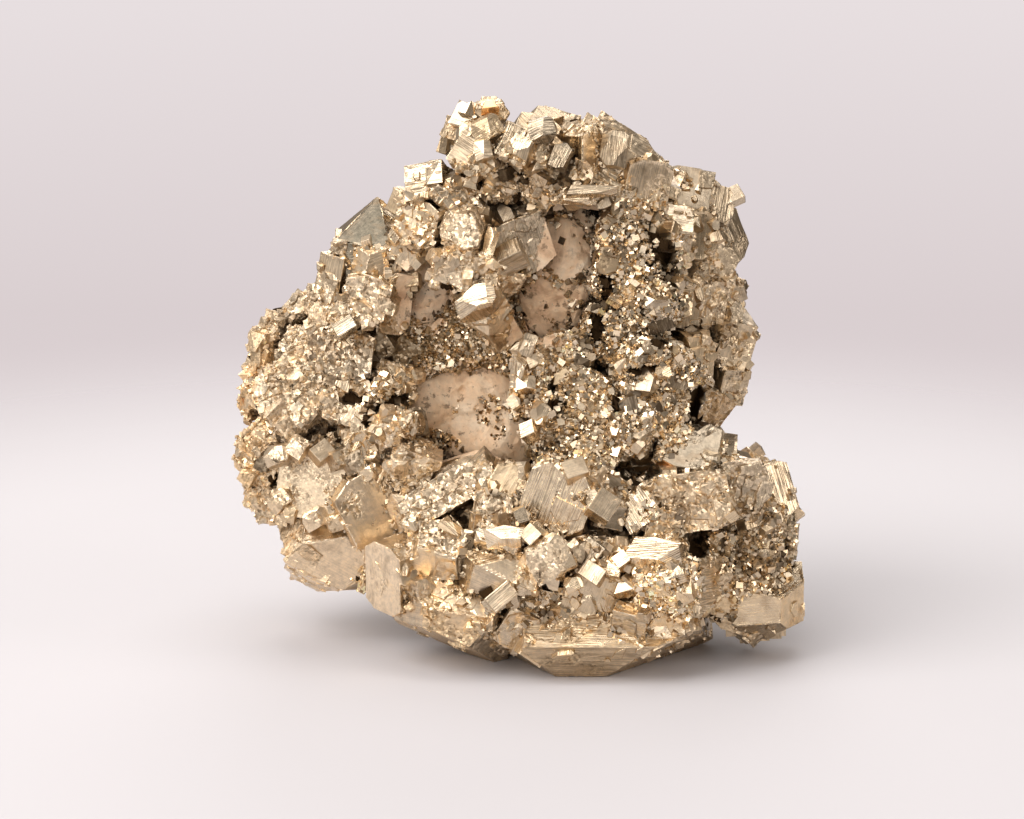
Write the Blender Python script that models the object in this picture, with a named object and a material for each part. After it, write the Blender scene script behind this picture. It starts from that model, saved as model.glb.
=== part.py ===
"""A pyrite specimen: crystals grown together round a shallow hollow that shows the pale matrix rock.

Lengths are in millimetres and are scaled by MM where a mesh is made. +X is to the right of someone
who faces the hollow, +Y points away from them and +Z points up. The origin is on the surface that
the specimen rests on, under the middle of its box.
"""
import math
import random

import bmesh
import bpy
from mathutils import Matrix, Vector, noise

MM = 0.001
NAME = "pyrite_specimen"

GAP = 0.3                       # room between the pyrite, the matrix and the crust
CRUST_SHEET = 0.9               # thickness of the sheet that carries the hollow's crystals
CRUST_REACH = 2.5               # how far those crystals stand off the matrix
CRUST_BACK = 9.5                # the crust ends here, measured along +Y
FOOT = 0.0                      # everything below this height is ground flat
SEED = 11
MASS_RELIEF = 0.10              # unevenness of the masses, as a share of their radii
MASS_SWELL = 0.6                # makes up for what the masses' coarse faces cut inside their radii
MASS_DETAIL = 1
LUMP_DETAIL = 2
FAR = 100.0                     # half the size of a cutter that reaches past everything
WELD = 0.001                    # points nearer than this are made one

# How far each kind of face stands from a crystal's centre, as a share of its half-size.
# "belt" is four pyritohedral faces round one axis, "edge" is all twelve, "corner" the octahedral eight.
HABITS = {
    "cube": {},
    "blunt": {"corner": 1.45},
    "block": {"belt": 1.12},
    "pyritohedron": {"edge": 0.90},
    "octahedron": {"corner": 1.00},
}
EVEN = (1, 1, 1)

# Rounded masses that the crystals grow on: centre, radii
MASSES = {
    "base": ((5.0, 2.5, 10.0), (18.5, 14.5, 12.0)),
    "sill": ((-5.0, 2.0, 15.5), (12.5, 8.5, 7.0)),
    "right_lobe": ((23.0, 3.0, 14.0), (7.0, 8.0, 9.5)),
    "right_column": ((14.0, 5.0, 29.0), (6.0, 7.0, 9.0)),
    "right_shoulder": ((13.0, 6.5, 43.0), (5.5, 6.5, 9.5)),
    "top": ((4.0, 9.0, 54.0), (11.5, 7.0, 7.0)),
    "upper_left": ((-16.5, 10.0, 42.5), (6.0, 7.0, 8.5)),
    "left_shoulder": ((-17.5, 7.5, 24.5), (6.0, 6.0, 9.5)),
    "left_lobe": ((-22.5, 11.0, 25.0), (8.0, 8.0, 15.0)),
    "rear_lobe": ((20.0, 20.0, 38.0), (5.5, 6.0, 13.0)),
    "back": ((-1.0, 17.0, 30.0), (19.0, 9.5, 22.0)),
    "upper_back": ((-3.0, 15.5, 45.0), (13.0, 6.5, 9.5)),
    "under_left": ((-11.0, 11.8, 18.0), (9.0, 8.0, 7.0)),
    "rear_foot": ((4.0, 12.5, 7.0), (13.5, 8.0, 9.0)),
}

# Large crystals, cut face by face: centre, then (turn, tilt, reach) for each face. Turn 0 faces the
# viewer and 90 faces +X, tilt lifts the face, and reach is its distance from the centre.
LARGE = {
    "foot": ((10.0, -6.0, 4.0), (
        (0, -35, 7.2), (0, 52, 5.8), (-60, -52, 8.2), (-80, 10, 11.0), (50, -55, 5.3),
        (80, 5, 10.5), (180, 0, 8.0), (0, -90, 5.0), (0, 90, 4.5))),
    "front_right": ((16.3, -8.0, 9.6), (
        (-5, -18, 6.3), (-25, 50, 6.3), (55, 5, 5.1), (10, -60, 6.4), (-75, -10, 4.6),
        (180, 0, 5.0), (0, 90, 6.4), (60, 45, 5.6), (75, -40, 5.4))),
    "far_right": ((28.0, -3.5, 6.5), (
        (55, 0, 3.5), (0, -50, 3.7), (60, -62, 3.8), (-60, -50, 4.6), (20, 70, 2.7),
        (90, 0, 4.4), (-10, 5, 3.6), (-90, 0, 4.0), (180, 0, 4.0))),
    "front_left": ((-8.2, -7.6, 6.8), (
        (-8, -14, 4.9), (-50, -60, 3.4), (-60, -3, 4.7), (40, -40, 6.0), (0, 50, 4.2),
        (80, 0, 6.2), (180, 0, 5.0), (0, 90, 5.0), (-100, 10, 6.0))),
    "front_middle": ((-2.4, -5.9, 10.2), (
        (10, 30, 7.0), (-12, -12, 6.4), (-60, 5, 6.0), (-10, -55, 4.1), (70, 10, 6.3),
        (-10, 65, 5.7), (180, 0, 5.0))),
    "lower_left": ((-21.5, 5.5, 11.0), (
        (0, -15, 4.8), (-50, -55, 4.9), (-85, -10, 6.0), (45, -45, 5.6), (80, 0, 5.2),
        (-10, 40, 5.4), (180, 0, 6.0), (0, 90, 6.0), (-60, 30, 5.8), (10, -75, 5.4))),
}

# Smaller crystals: (x, y, z), half-size, (turn, tilt, roll), habit, stretch. Turn swings the front
# face to the right, tilt lifts it, and roll spins it.
TOP_RIDGE = (
    ((-3.4, 4.0, 61.4), 2.1, (-20, 35, 15), "pyritohedron", EVEN),
    ((-5.8, 4.2, 60.9), 1.5, (-35, 30, 10), "cube", EVEN),
    ((-6.2, 5.5, 58.3), 2.2, (-60, 20, 0), "cube", EVEN),
    ((-5.3, 2.5, 57.3), 2.1, (-10, 10, 30), "cube", EVEN),
    ((1.5, 5.0, 57.0), 4.2, (-10, 40, 20), "pyritohedron", EVEN),
    ((7.0, 3.0, 56.7), 2.6, (40, 5, 5), "block", (0.9, 1, 1.35)),
    ((10.0, 5.0, 55.8), 3.9, (10, 15, 32), "block", EVEN),
    ((13.4, 3.5, 53.5), 2.8, (20, -5, 10), "block", (1, 1, 1.25)),
    ((5.0, 6.5, 59.4), 1.5, (0, 50, 20), "cube", EVEN),
    ((8.0, 5.5, 59.3), 1.4, (10, 30, 30), "cube", EVEN),
    ((0.0, 1.0, 58.0), 2.0, (-15, 25, 20), "cube", EVEN),
    ((2.6, 1.0, 57.5), 1.7, (25, 10, 40), "cube", EVEN),
    ((-3.5, 2.0, 56.5), 2.3, (-10, 20, -20), "pyritohedron", EVEN),
    ((14.8, 4.5, 55.0), 1.4, (50, 0, 10), "cube", EVEN),
    ((2.5, 2.5, 53.5), 2.0, (-30, -20, 30), "cube", EVEN),
    ((8.0, 2.5, 53.2), 4.4, (0, -10, 4), "cube", (1.05, 0.6, 0.22)),
    ((-2.5, 2.5, 54.0), 1.8, (20, -10, 10), "cube", EVEN),
)
UPPER_LEFT = (
    ((-10.3, 4.5, 53.2), 2.2, (-30, 25, -15), "cube", EVEN),
    ((-7.0, 3.0, 52.3), 2.0, (10, 15, 40), "cube", EVEN),
    ((-10.8, 4.5, 48.8), 2.7, (-25, 10, 10), "block", EVEN),
    ((-6.2, 2.8, 48.6), 3.2, (-12, 5, 8), "pyritohedron", EVEN),
    ((-0.7, 4.0, 47.3), 3.5, (15, -8, -20), "block", EVEN),
    ((-6.0, 0.8, 44.6), 3.0, (-5, -5, 5), "block", (1.2, 1, 0.75)),
    ((-2.6, 2.2, 44.0), 2.4, (35, -25, 20), "blunt", EVEN),
    ((-4.0, 0.4, 40.2), 2.8, (-10, 25, 30), "pyritohedron", EVEN),
    ((-2.8, 2.6, 37.8), 1.8, (30, -20, -35), "cube", (1, 1, 1.5)),
    ((-16.6, 6.5, 43.6), 3.7, (-40, 40, 20), "pyritohedron", EVEN),
    ((-21.0, 7.0, 42.3), 2.1, (-30, 5, 10), "cube", (0.8, 1, 1.3)),
    ((-20.0, 3.5, 38.5), 1.5, (-10, 10, -25), "cube", EVEN),
    ((-17.2, 4.2, 40.5), 2.7, (-10, 5, 15), "block", EVEN),
    ((-15.0, 6.0, 40.0), 2.6, (30, -10, 10), "block", (0.8, 1, 1.4)),
    ((-13.2, 6.0, 51.0), 1.4, (-40, 10, 20), "cube", EVEN),
    ((-12.8, 5.0, 46.3), 2.0, (-20, 0, 35), "cube", EVEN),
    ((-22.4, 8.0, 39.3), 1.8, (-50, 10, 0), "cube", EVEN),
    ((-21.5, 6.0, 36.8), 2.2, (-20, 10, 20), "blunt", EVEN),
)
LEFT_LOBE = (
    ((-25.4, 6.5, 28.0), 4.0, (-10, 30, 45), "blunt", (1, 1, 1.1)),
    ((-24.4, 8.0, 33.0), 2.7, (-20, 20, 15), "block", EVEN),
    ((-23.8, 4.2, 18.5), 3.9, (-5, 10, 8), "block", EVEN),
    ((-22.6, 5.0, 22.6), 2.2, (10, 5, -10), "block", EVEN),
    ((-17.3, 2.5, 16.8), 4.4, (15, 5, -25), "block", EVEN),
    ((-19.8, 3.5, 21.0), 2.0, (-30, 0, -28), "cube", (0.7, 1, 2.0)),
    ((-29.8, 7.0, 16.6), 1.7, (-40, 0, 10), "cube", EVEN),
    ((-28.0, 5.5, 16.2), 2.2, (-30, -10, 0), "cube", EVEN),
    ((-29.6, 5.8, 20.0), 1.9, (-20, 0, 25), "cube", EVEN),
    ((-31.0, 7.2, 21.6), 1.6, (-50, 0, 15), "cube", EVEN),
    ((-29.4, 6.2, 23.4), 1.8, (-20, 30, 40), "cube", EVEN),
    ((-31.0, 9.5, 27.0), 1.4, (-60, 0, 30), "cube", EVEN),
    ((-28.6, 8.5, 29.6), 2.1, (-40, 10, 30), "cube", EVEN),
    ((-30.5, 10.0, 31.0), 1.3, (-60, 10, 20), "cube", EVEN),
    ((-29.6, 10.0, 34.0), 1.5, (-50, 10, 10), "cube", EVEN),
    ((-28.0, 10.5, 36.0), 1.5, (-50, 20, 0), "cube", EVEN),
    ((-25.2, 10.0, 37.8), 1.6, (-40, 30, 30), "cube", EVEN),
    ((-14.5, 0.0, 26.0), 2.7, (-5, 15, 20), "pyritohedron", EVEN),
    ((-19.5, 3.8, 28.0), 2.8, (0, 20, 30), "block", EVEN),
    ((-12.5, -1.0, 22.0), 2.5, (0, -10, 20), "block", EVEN),
    ((-20.3, 5.5, 33.0), 3.0, (10, 25, 10), "block", EVEN),
    ((-17.6, 2.4, 23.2), 2.8, (10, 0, -10), "blunt", EVEN),
    ((-15.0, 4.0, 30.0), 2.4, (20, 20, 20), "block", EVEN),
    ((-17.0, 2.5, 8.6), 1.7, (20, -10, 20), "cube", EVEN),
)
BASE = (
    ((-13.2, -5.6, 10.5), 3.2, (-50, -5, 5), "block", (1, 1, 1.3)),
    ((-12.0, -7.2, 13.6), 1.3, (-10, 20, 20), "octahedron", EVEN),
    ((-2.0, -11.8, 9.3), 1.3, (0, 0, -30), "cube", (1.8, 1, 0.8)),
    ((-0.6, -10.4, 6.0), 2.4, (10, -15, 30), "blunt", EVEN),
    ((1.8, -10.2, 8.4), 1.9, (0, 0, 15), "cube", EVEN),
    ((3.3, -9.8, 13.2), 2.9, (-5, 20, 10), "pyritohedron", EVEN),
    ((5.0, -5.5, 19.3), 4.0, (-15, 5, 20), "blunt", EVEN),
    ((9.0, -7.0, 20.0), 2.4, (20, 15, 40), "cube", EVEN),
    ((10.0, -9.2, 18.0), 1.4, (15, 5, 15), "cube", EVEN),
    ((13.3, -7.6, 18.0), 2.2, (-10, 25, -35), "cube", EVEN),
    ((15.6, -8.0, 16.8), 2.0, (10, 0, 10), "cube", EVEN),
    ((-2.0, -9.0, 15.0), 2.2, (-5, 50, 20), "blunt", (1.2, 1, 1)),
    ((1.5, -10.0, 15.8), 1.3, (10, 10, 40), "cube", EVEN),
    ((-3.2, -6.8, 17.8), 2.2, (0, 20, 10), "block", EVEN),
    ((-1.2, -5.0, 20.3), 2.6, (0, 10, 30), "block", EVEN),
    ((-8.6, -6.6, 13.4), 4.2, (-10, 10, 15), "pyritohedron", (1.1, 1, 0.9)),
    ((-8.2, -3.0, 18.6), 3.8, (0, 25, -30), "block", (1.5, 1, 0.55)),
    ((6.0, -9.6, 12.2), 1.5, (10, 10, 30), "cube", EVEN),
    ((8.0, -10.0, 14.0), 1.2, (-10, 20, 35), "cube", EVEN),
    ((10.8, -10.2, 14.6), 1.3, (0, 0, 0), "octahedron", EVEN),
    ((10.4, -10.6, 12.0), 1.4, (-15, 45, 10), "cube", EVEN),
    ((12.6, -12.2, 6.9), 2.0, (-20, -20, 10), "cube", EVEN),
    ((8.0, -8.6, 9.4), 3.2, (0, 0, 20), "block", EVEN),
    ((4.4, -9.4, 7.2), 2.4, (10, 10, 15), "block", EVEN),
)
RIGHT_LOBE = (
    ((19.0, -3.2, 22.8), 3.5, (0, 50, 10), "block", EVEN),
    ((19.2, -4.8, 19.4), 4.3, (-5, 0, -10), "block", (1.1, 1, 0.8)),
    ((23.6, -3.2, 20.2), 3.2, (20, 0, 10), "block", EVEN),
    ((26.8, 0.4, 18.2), 3.3, (35, 15, -10), "block", EVEN),
    ((29.6, 1.0, 16.0), 1.5, (50, 10, 0), "cube", EVEN),
    ((30.2, 0.8, 12.8), 1.5, (60, 0, 10), "cube", (0.7, 1, 1.3)),
    ((29.3, -1.0, 10.6), 1.4, (50, 0, 20), "cube", EVEN),
    ((22.8, -1.0, 24.0), 1.5, (20, 20, 10), "cube", EVEN),
    ((20.6, -0.5, 25.4), 1.5, (0, 30, 20), "cube", EVEN),
    ((24.5, -0.3, 12.0), 4.2, (10, 5, 15), "block", EVEN),
    ((24.8, -3.2, 6.8), 3.1, (10, -10, 20), "block", EVEN),
    ((22.2, -5.2, 8.4), 2.4, (30, -5, 10), "blunt", EVEN),
    ((21.6, -4.6, 13.2), 2.0, (20, 10, 30), "cube", EVEN),
    ((26.2, -3.0, 13.8), 1.8, (0, 20, 10), "cube", EVEN),
)
RIGHT_COLUMN = (
    ((15.2, 2.5, 45.2), 2.1, (40, 0, 10), "cube", EVEN),
    ((14.4, 0.8, 40.0), 3.3, (10, 10, 10), "pyritohedron", EVEN),
    ((11.8, 3.5, 49.0), 2.7, (10, 5, 20), "cube", EVEN),
    ((14.4, 0.3, 32.6), 3.9, (25, 0, 20), "block", EVEN),
    ((18.6, 1.8, 29.5), 2.5, (40, -5, 15), "block", (0.8, 1, 1.4)),
    ((12.3, -4.0, 27.0), 3.6, (0, 10, 15), "pyritohedron", EVEN),
    ((7.5, -0.5, 29.5), 3.2, (-10, 10, 30), "block", EVEN),
    ((1.4, -1.0, 31.8), 2.5, (-20, 0, 5), "block", (0.8, 1, 1.7)),
    ((2.6, -3.2, 29.0), 1.6, (-15, 25, 40), "cube", EVEN),
    ((2.2, -3.6, 26.2), 1.5, (-20, 10, 45), "cube", EVEN),
    ((4.6, -1.8, 24.6), 3.0, (0, 10, 25), "block", EVEN),
    ((8.4, -4.6, 24.0), 2.3, (0, 10, 40), "blunt", EVEN),
    ((5.0, 1.2, 34.0), 2.8, (0, 10, 10), "block", EVEN),
    ((9.6, 2.5, 36.5), 3.0, (5, 5, 30), "block", EVEN),
    ((11.2, 3.0, 43.2), 3.0, (5, 10, 15), "block", EVEN),
    ((16.0, -1.6, 28.4), 2.2, (20, 0, 10), "cube", EVEN),
)
REAR_FEET = (
    ((-5.5, 12.5, 4.6), 3.9, (150, 25, 20), "block", EVEN),
    ((13.5, 14.0, 4.2), 4.2, (205, 30, -25), "pyritohedron", EVEN),
    ((4.5, 18.0, 4.0), 3.6, (170, -20, 40), "cube", EVEN),
)
REAR_LOBE = (
    ((19.6, 17.0, 46.0), 2.9, (15, 0, 5), "blunt", EVEN),
    ((19.4, 19.5, 49.8), 3.0, (0, 20, 10), "block", EVEN),
    ((22.4, 21.0, 48.6), 2.2, (30, 10, 15), "blunt", EVEN),
    ((22.0, 18.5, 42.0), 2.5, (30, 0, 30), "block", EVEN),
    ((22.0, 17.5, 37.5), 2.8, (30, 0, 10), "block", EVEN),
    ((23.6, 17.0, 32.5), 2.9, (40, 0, 20), "block", EVEN),
    ((23.8, 15.5, 28.2), 2.2, (40, -10, 10), "cube", EVEN),
    ((22.0, 14.0, 26.2), 2.2, (20, -20, 30), "cube", EVEN),
    ((20.0, 11.5, 31.5), 2.6, (20, 0, 5), "block", (0.7, 1, 1.4)),
    ((18.0, 14.5, 38.5), 3.0, (0, 0, 10), "block", EVEN),
    ((17.4, 18.0, 51.2), 1.7, (-10, 30, 20), "cube", EVEN),
)
ZONES = {
    "top_ridge": TOP_RIDGE,
    "upper_left": UPPER_LEFT,
    "left_lobe": LEFT_LOBE,
    "base": BASE,
    "right_lobe": RIGHT_LOBE,
    "right_column": RIGHT_COLUMN,
    "rear_feet": REAR_FEET,
    "rear_lobe": REAR_LOBE,
}

# Crystals scattered over the sides that face away from the hollow: how many for each mass
BACK_CRYSTALS = {
    "back": 12, "base": 5, "left_lobe": 4, "upper_back": 3, "under_left": 2,
    "top": 3, "rear_lobe": 4, "right_lobe": 2, "right_column": 2, "right_shoulder": 3,
}
BACK_TOP = 57.0                 # none of their centres is higher
BACK_SIZES = (2.8, 4.8)         # their smallest and largest half-size
BACK_SIDE = (0.3, 0.9, 0.1)     # they stand where the outward direction leans this way
BACK_LEAN = 0.45
BACK_DEPTH = 0.80               # their centres, as a share of the mass's radius
BACK_WITHIN = 0.75              # the share of their half-size that stays inside the mass's width
BACK_HABITS = ("block", "cube", "pyritohedron", "cube", "blunt")

# The matrix rock behind the hollow: centre, radii
MATRIX = {
    "upper_panel": ((4.0, 8.5, 43.0), (6.0, 4.0, 10.0)),
    "left_panel": ((-11.0, 11.0, 40.0), (5.0, 4.0, 6.5)),
    "middle": ((-3.5, 11.0, 34.5), (9.5, 4.0, 9.0)),
    "basin": ((-6.0, 10.5, 27.0), (10.5, 4.5, 8.0)),
}
MATRIX_RELIEF = 0.05

# Places where the crust leaves the matrix bare: centre, radii
BARE = (
    ((5.0, 3.0, 46.5), (3.6, 5.0, 4.2)),
    ((2.2, 3.0, 38.5), (3.4, 5.0, 5.0)),
    ((-5.0, 4.0, 27.5), (7.5, 6.0, 5.2)),
    ((-11.0, 6.0, 41.0), (2.8, 5.0, 4.5)),
)
CRUST_CRYSTALS = 12
CRUST_SIZES = (1.0, 1.5)        # half-sizes
CRUST_FRONT = 0.35              # crust crystals stand where the outward direction's Y is below this
BARE_SWELL = 0.5                # makes up for the coarse faces of the blobs that cut these places
BARE_RELIEF = 0.25
BARE_DETAIL = 1

MATERIALS = {
    "pyrite_cluster": {"colour": (0.72, 0.58, 0.38), "roughness": 0.34, "metallic": 1.0},
    "hollow_crust": {"colour": (0.60, 0.49, 0.33), "roughness": 0.42, "metallic": 1.0},
    "matrix": {"colour": (0.70, 0.52, 0.40), "roughness": 0.85, "metallic": 0.0},
}


def clear_scene():
    for item in list(bpy.data.objects):
        bpy.data.objects.remove(item, do_unlink=True)


def new_collection(name):
    collection = bpy.data.collections.new(name)
    bpy.context.scene.collection.children.link(collection)
    return collection


def direction(turn, tilt):
    """The outward direction of a face: turn 0 is -Y, turn 90 is +X, and tilt lifts it."""
    side, lift = math.radians(turn), math.radians(tilt)
    return Vector((math.sin(side) * math.cos(lift), -math.cos(side) * math.cos(lift), math.sin(lift)))


def facing(turn, tilt, roll):
    swing = Matrix.Rotation(math.radians(turn), 4, "Z")
    lift = Matrix.Rotation(math.radians(-tilt), 4, "X")
    spin = Matrix.Rotation(math.radians(roll), 4, "Y")
    return swing @ lift @ spin


def slice_off(body, normal, distance):
    """Cuts a closed convex bmesh by a plane and closes the cut with one face."""
    parts = body.verts[:] + body.edges[:] + body.faces[:]
    bmesh.ops.bisect_plane(body, geom=parts, plane_co=normal * distance, plane_no=normal, clear_outer=True)
    rim = [edge for edge in body.edges if edge.is_boundary]
    if rim:
        bmesh.ops.contextual_create(body, geom=rim)


def belt_normals():
    for x in (-1, 1):
        for z in (-1, 1):
            yield Vector((x, 0, 2 * z)).normalized()


def edge_normals():
    for long_axis, short_axis in ((0, 1), (1, 2), (2, 0)):
        for long_sign in (-1, 1):
            for short_sign in (-1, 1):
                normal = Vector((0, 0, 0))
                normal[long_axis] = 2 * long_sign
                normal[short_axis] = short_sign
                yield normal.normalized()


def corner_normals():
    for x in (-1, 1):
        for y in (-1, 1):
            for z in (-1, 1):
                yield Vector((x, y, z)).normalized()


FACE_KINDS = {"belt": belt_normals, "edge": edge_normals, "corner": corner_normals}


def helper(name, body, collection):
    """Keeps a finished bmesh as a hidden helper that the union or a cut will use."""
    bmesh.ops.recalc_face_normals(body, faces=body.faces)
    mesh = bpy.data.meshes.new(name)
    body.to_mesh(mesh)
    body.free()
    item = bpy.data.objects.new(name, mesh)
    item.hide_render = True
    item.display_type = "WIRE"
    collection.objects.link(item)
    return item


def place_body(body, place, turn, form):
    size = Matrix.Diagonal((*form, 1))
    move = Matrix.Translation(Vector(place) * MM)
    bmesh.ops.transform(body, matrix=move @ turn @ size, verts=body.verts)


def crystal(name, place, half, angles, habit, stretch, rng, collection):
    """One closed crystal: a cube cut by the faces of its habit, none of them quite even."""
    body = bmesh.new()
    bmesh.ops.create_cube(body, size=2 * half * MM)
    for kind, share in HABITS[habit].items():
        for normal in FACE_KINDS[kind]():
            slice_off(body, normal, half * MM * share * rng.uniform(0.95, 1.04))
    place_body(body, place, facing(*angles), stretch)
    return helper(name, body, collection)


def large_crystal(name, place, faces, collection):
    """One closed crystal cut from a block by named faces."""
    body = bmesh.new()
    span = max(reach for turn, tilt, reach in faces) * MM
    bmesh.ops.create_cube(body, size=4 * span)
    for turn, tilt, reach in faces:
        slice_off(body, direction(turn, tilt), reach * MM)
    place_body(body, place, Matrix.Identity(4), EVEN)
    return helper(name, body, collection)


def lump(name, place, radii, grow, relief, detail, collection):
    """An ellipsoid with low relief, its radii grown by a margin."""
    body = bmesh.new()
    bmesh.ops.create_icosphere(body, subdivisions=detail, radius=1.0)
    for vert in body.verts:
        vert.co *= 1 + relief * noise.noise(vert.co * 1.7 + Vector(place))
    place_body(body, place, Matrix.Identity(4), [(radius + grow) * MM for radius in radii])
    return helper(name, body, collection)


def slab(name, low, high, collection):
    """A plain box cutter between two corners."""
    body = bmesh.new()
    bmesh.ops.create_cube(body, size=1.0)
    low, high = Vector(low), Vector(high)
    place_body(body, (low + high) / 2, Matrix.Identity(4), (high - low) * MM)
    return helper(name, body, collection)


def spread(count):
    """Evenly spread directions over a sphere, along a golden-angle spiral."""
    golden = math.pi * (3 - math.sqrt(5))
    for index in range(count):
        height = 1 - 2 * (index + 0.5) / count
        ring = math.sqrt(1 - height * height)
        yield Vector((ring * math.cos(golden * index), ring * math.sin(golden * index), height))


def combine(name, pieces, cuts):
    """Unites a collection of closed solids, then applies (operation, object) cuts in order."""
    carrier = bpy.data.objects.new(name, pieces.objects[0].data.copy())
    bpy.context.scene.collection.objects.link(carrier)
    union = carrier.modifiers.new("grow together", "BOOLEAN")
    union.operation = "UNION"
    union.solver = "EXACT"
    union.operand_type = "COLLECTION"
    union.collection = pieces
    for operation, cutter in cuts:
        cut = carrier.modifiers.new("cut", "BOOLEAN")
        cut.operation = operation
        cut.solver = "EXACT"
        cut.object = cutter
    depsgraph = bpy.context.evaluated_depsgraph_get()
    mesh = bpy.data.meshes.new_from_object(carrier.evaluated_get(depsgraph))
    bpy.data.objects.remove(carrier, do_unlink=True)
    mesh.name = name
    return mesh


def islands(body):
    """The separate shells of a bmesh, each as a list of faces."""
    left = set(body.faces)
    while left:
        start = left.pop()
        shell = [start]
        queue = [start]
        while queue:
            for edge in queue.pop().edges:
                for face in edge.link_faces:
                    if face in left:
                        left.remove(face)
                        shell.append(face)
                        queue.append(face)
        yield shell


def signed_volume(shell):
    total = 0.0
    for face in shell:
        corners = [vert.co for vert in face.verts]
        for second, third in zip(corners[1:], corners[2:]):
            total += corners[0].dot(second.cross(third)) / 6
    return total


def keep_one_shell(mesh):
    """Drops loose bits and sealed cavities, so that only the shell that holds the most is left."""
    body = bmesh.new()
    body.from_mesh(mesh)
    body.faces.ensure_lookup_table()
    shells = sorted(islands(body), key=signed_volume)
    spare = [face for shell in shells[:-1] for face in shell]
    bmesh.ops.delete(body, geom=spare, context="FACES")
    bmesh.ops.remove_doubles(body, verts=body.verts, dist=WELD * MM)
    bmesh.ops.triangulate(body, faces=body.faces)
    body.to_mesh(mesh)
    body.free()
    return mesh


def named_crystals(pieces, rng):
    for name, (place, faces) in LARGE.items():
        large_crystal(name, place, faces, pieces)
    for zone, crystals in ZONES.items():
        for number, (place, half, angles, habit, stretch) in enumerate(crystals):
            crystal(f"{zone}_{number:02d}", place, half, angles, habit, stretch, rng, pieces)


def back_crystals(pieces, rng):
    """Crystals over the masses, on the sides that face away from the hollow."""
    for name, count in BACK_CRYSTALS.items():
        centre, radii = MASSES[name]
        side = Vector(BACK_SIDE)
        away = [out for out in spread(4 * count) if out.dot(side) > BACK_LEAN]
        for number, out in enumerate(away[:count]):
            place = [centre[axis] + BACK_DEPTH * radii[axis] * out[axis] for axis in range(3)]
            half = rng.uniform(*BACK_SIZES)
            width = max(radii[0] - BACK_WITHIN * half, 0)
            place[0] = min(max(place[0], centre[0] - width), centre[0] + width)
            place[2] = min(place[2], BACK_TOP - half)
            angles = [rng.uniform(-180, 180), rng.uniform(-40, 40), rng.uniform(-45, 45)]
            habit = BACK_HABITS[number % len(BACK_HABITS)]
            if place[2] > half:
                crystal(f"{name}_back_{number:02d}", place, half, angles, habit, EVEN, rng, pieces)


def matrix_solid(name, grow, cuts=()):
    """The matrix's lumps, grown by a margin and united, as one hidden solid."""
    lumps = new_collection(name + "_lumps")
    for part, (centre, radii) in MATRIX.items():
        lump(f"{name}_{part}", centre, radii, grow, MATRIX_RELIEF, LUMP_DETAIL, lumps)
    mesh = keep_one_shell(combine(name, lumps, cuts))
    solid = bpy.data.objects.new(name, mesh)
    solid.hide_render = True
    solid.display_type = "WIRE"
    return solid


def in_bare_place(point):
    for centre, radii in BARE:
        if sum(((point[axis] - centre[axis]) / radii[axis]) ** 2 for axis in range(3)) < 1:
            return True
    return False


def crust_crystals(pieces, rng):
    """Small crystals that stand on the crust's sheet wherever it covers the matrix."""
    for part, (centre, radii) in MATRIX.items():
        for number, out in enumerate(spread(CRUST_CRYSTALS)):
            place = [centre[axis] + (radii[axis] + CRUST_SHEET) * out[axis] for axis in range(3)]
            half = rng.uniform(*CRUST_SIZES)
            angles = [rng.uniform(-60, 60), rng.uniform(-60, 60), rng.uniform(-45, 45)]
            if out.y < CRUST_FRONT and not in_bare_place(place):
                crystal(f"crust_{part}_{number:02d}", place, half, angles, "cube", EVEN, rng, pieces)


def centre_over_origin(meshes):
    """Moves the finished meshes together, so that the middle of their box is over the origin."""
    points = [vert.co for mesh in meshes for vert in mesh.vertices]
    middle = [(min(point[axis] for point in points) + max(point[axis] for point in points)) / 2
              for axis in (0, 1)]
    for mesh in meshes:
        mesh.transform(Matrix.Translation((-middle[0], -middle[1], 0)))


def finish(name, mesh, parts):
    """Makes a node of a finished mesh, with flat faces and its own material."""
    looks = MATERIALS[name]
    material = bpy.data.materials.new(name)
    material.use_nodes = True
    shader = material.node_tree.nodes["Principled BSDF"]
    shader.inputs["Base Color"].default_value = (*looks["colour"], 1.0)
    shader.inputs["Roughness"].default_value = looks["roughness"]
    shader.inputs["Metallic"].default_value = looks["metallic"]
    mesh.materials.clear()
    mesh.materials.append(material)
    parts.objects.link(bpy.data.objects.new(name, mesh))


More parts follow.
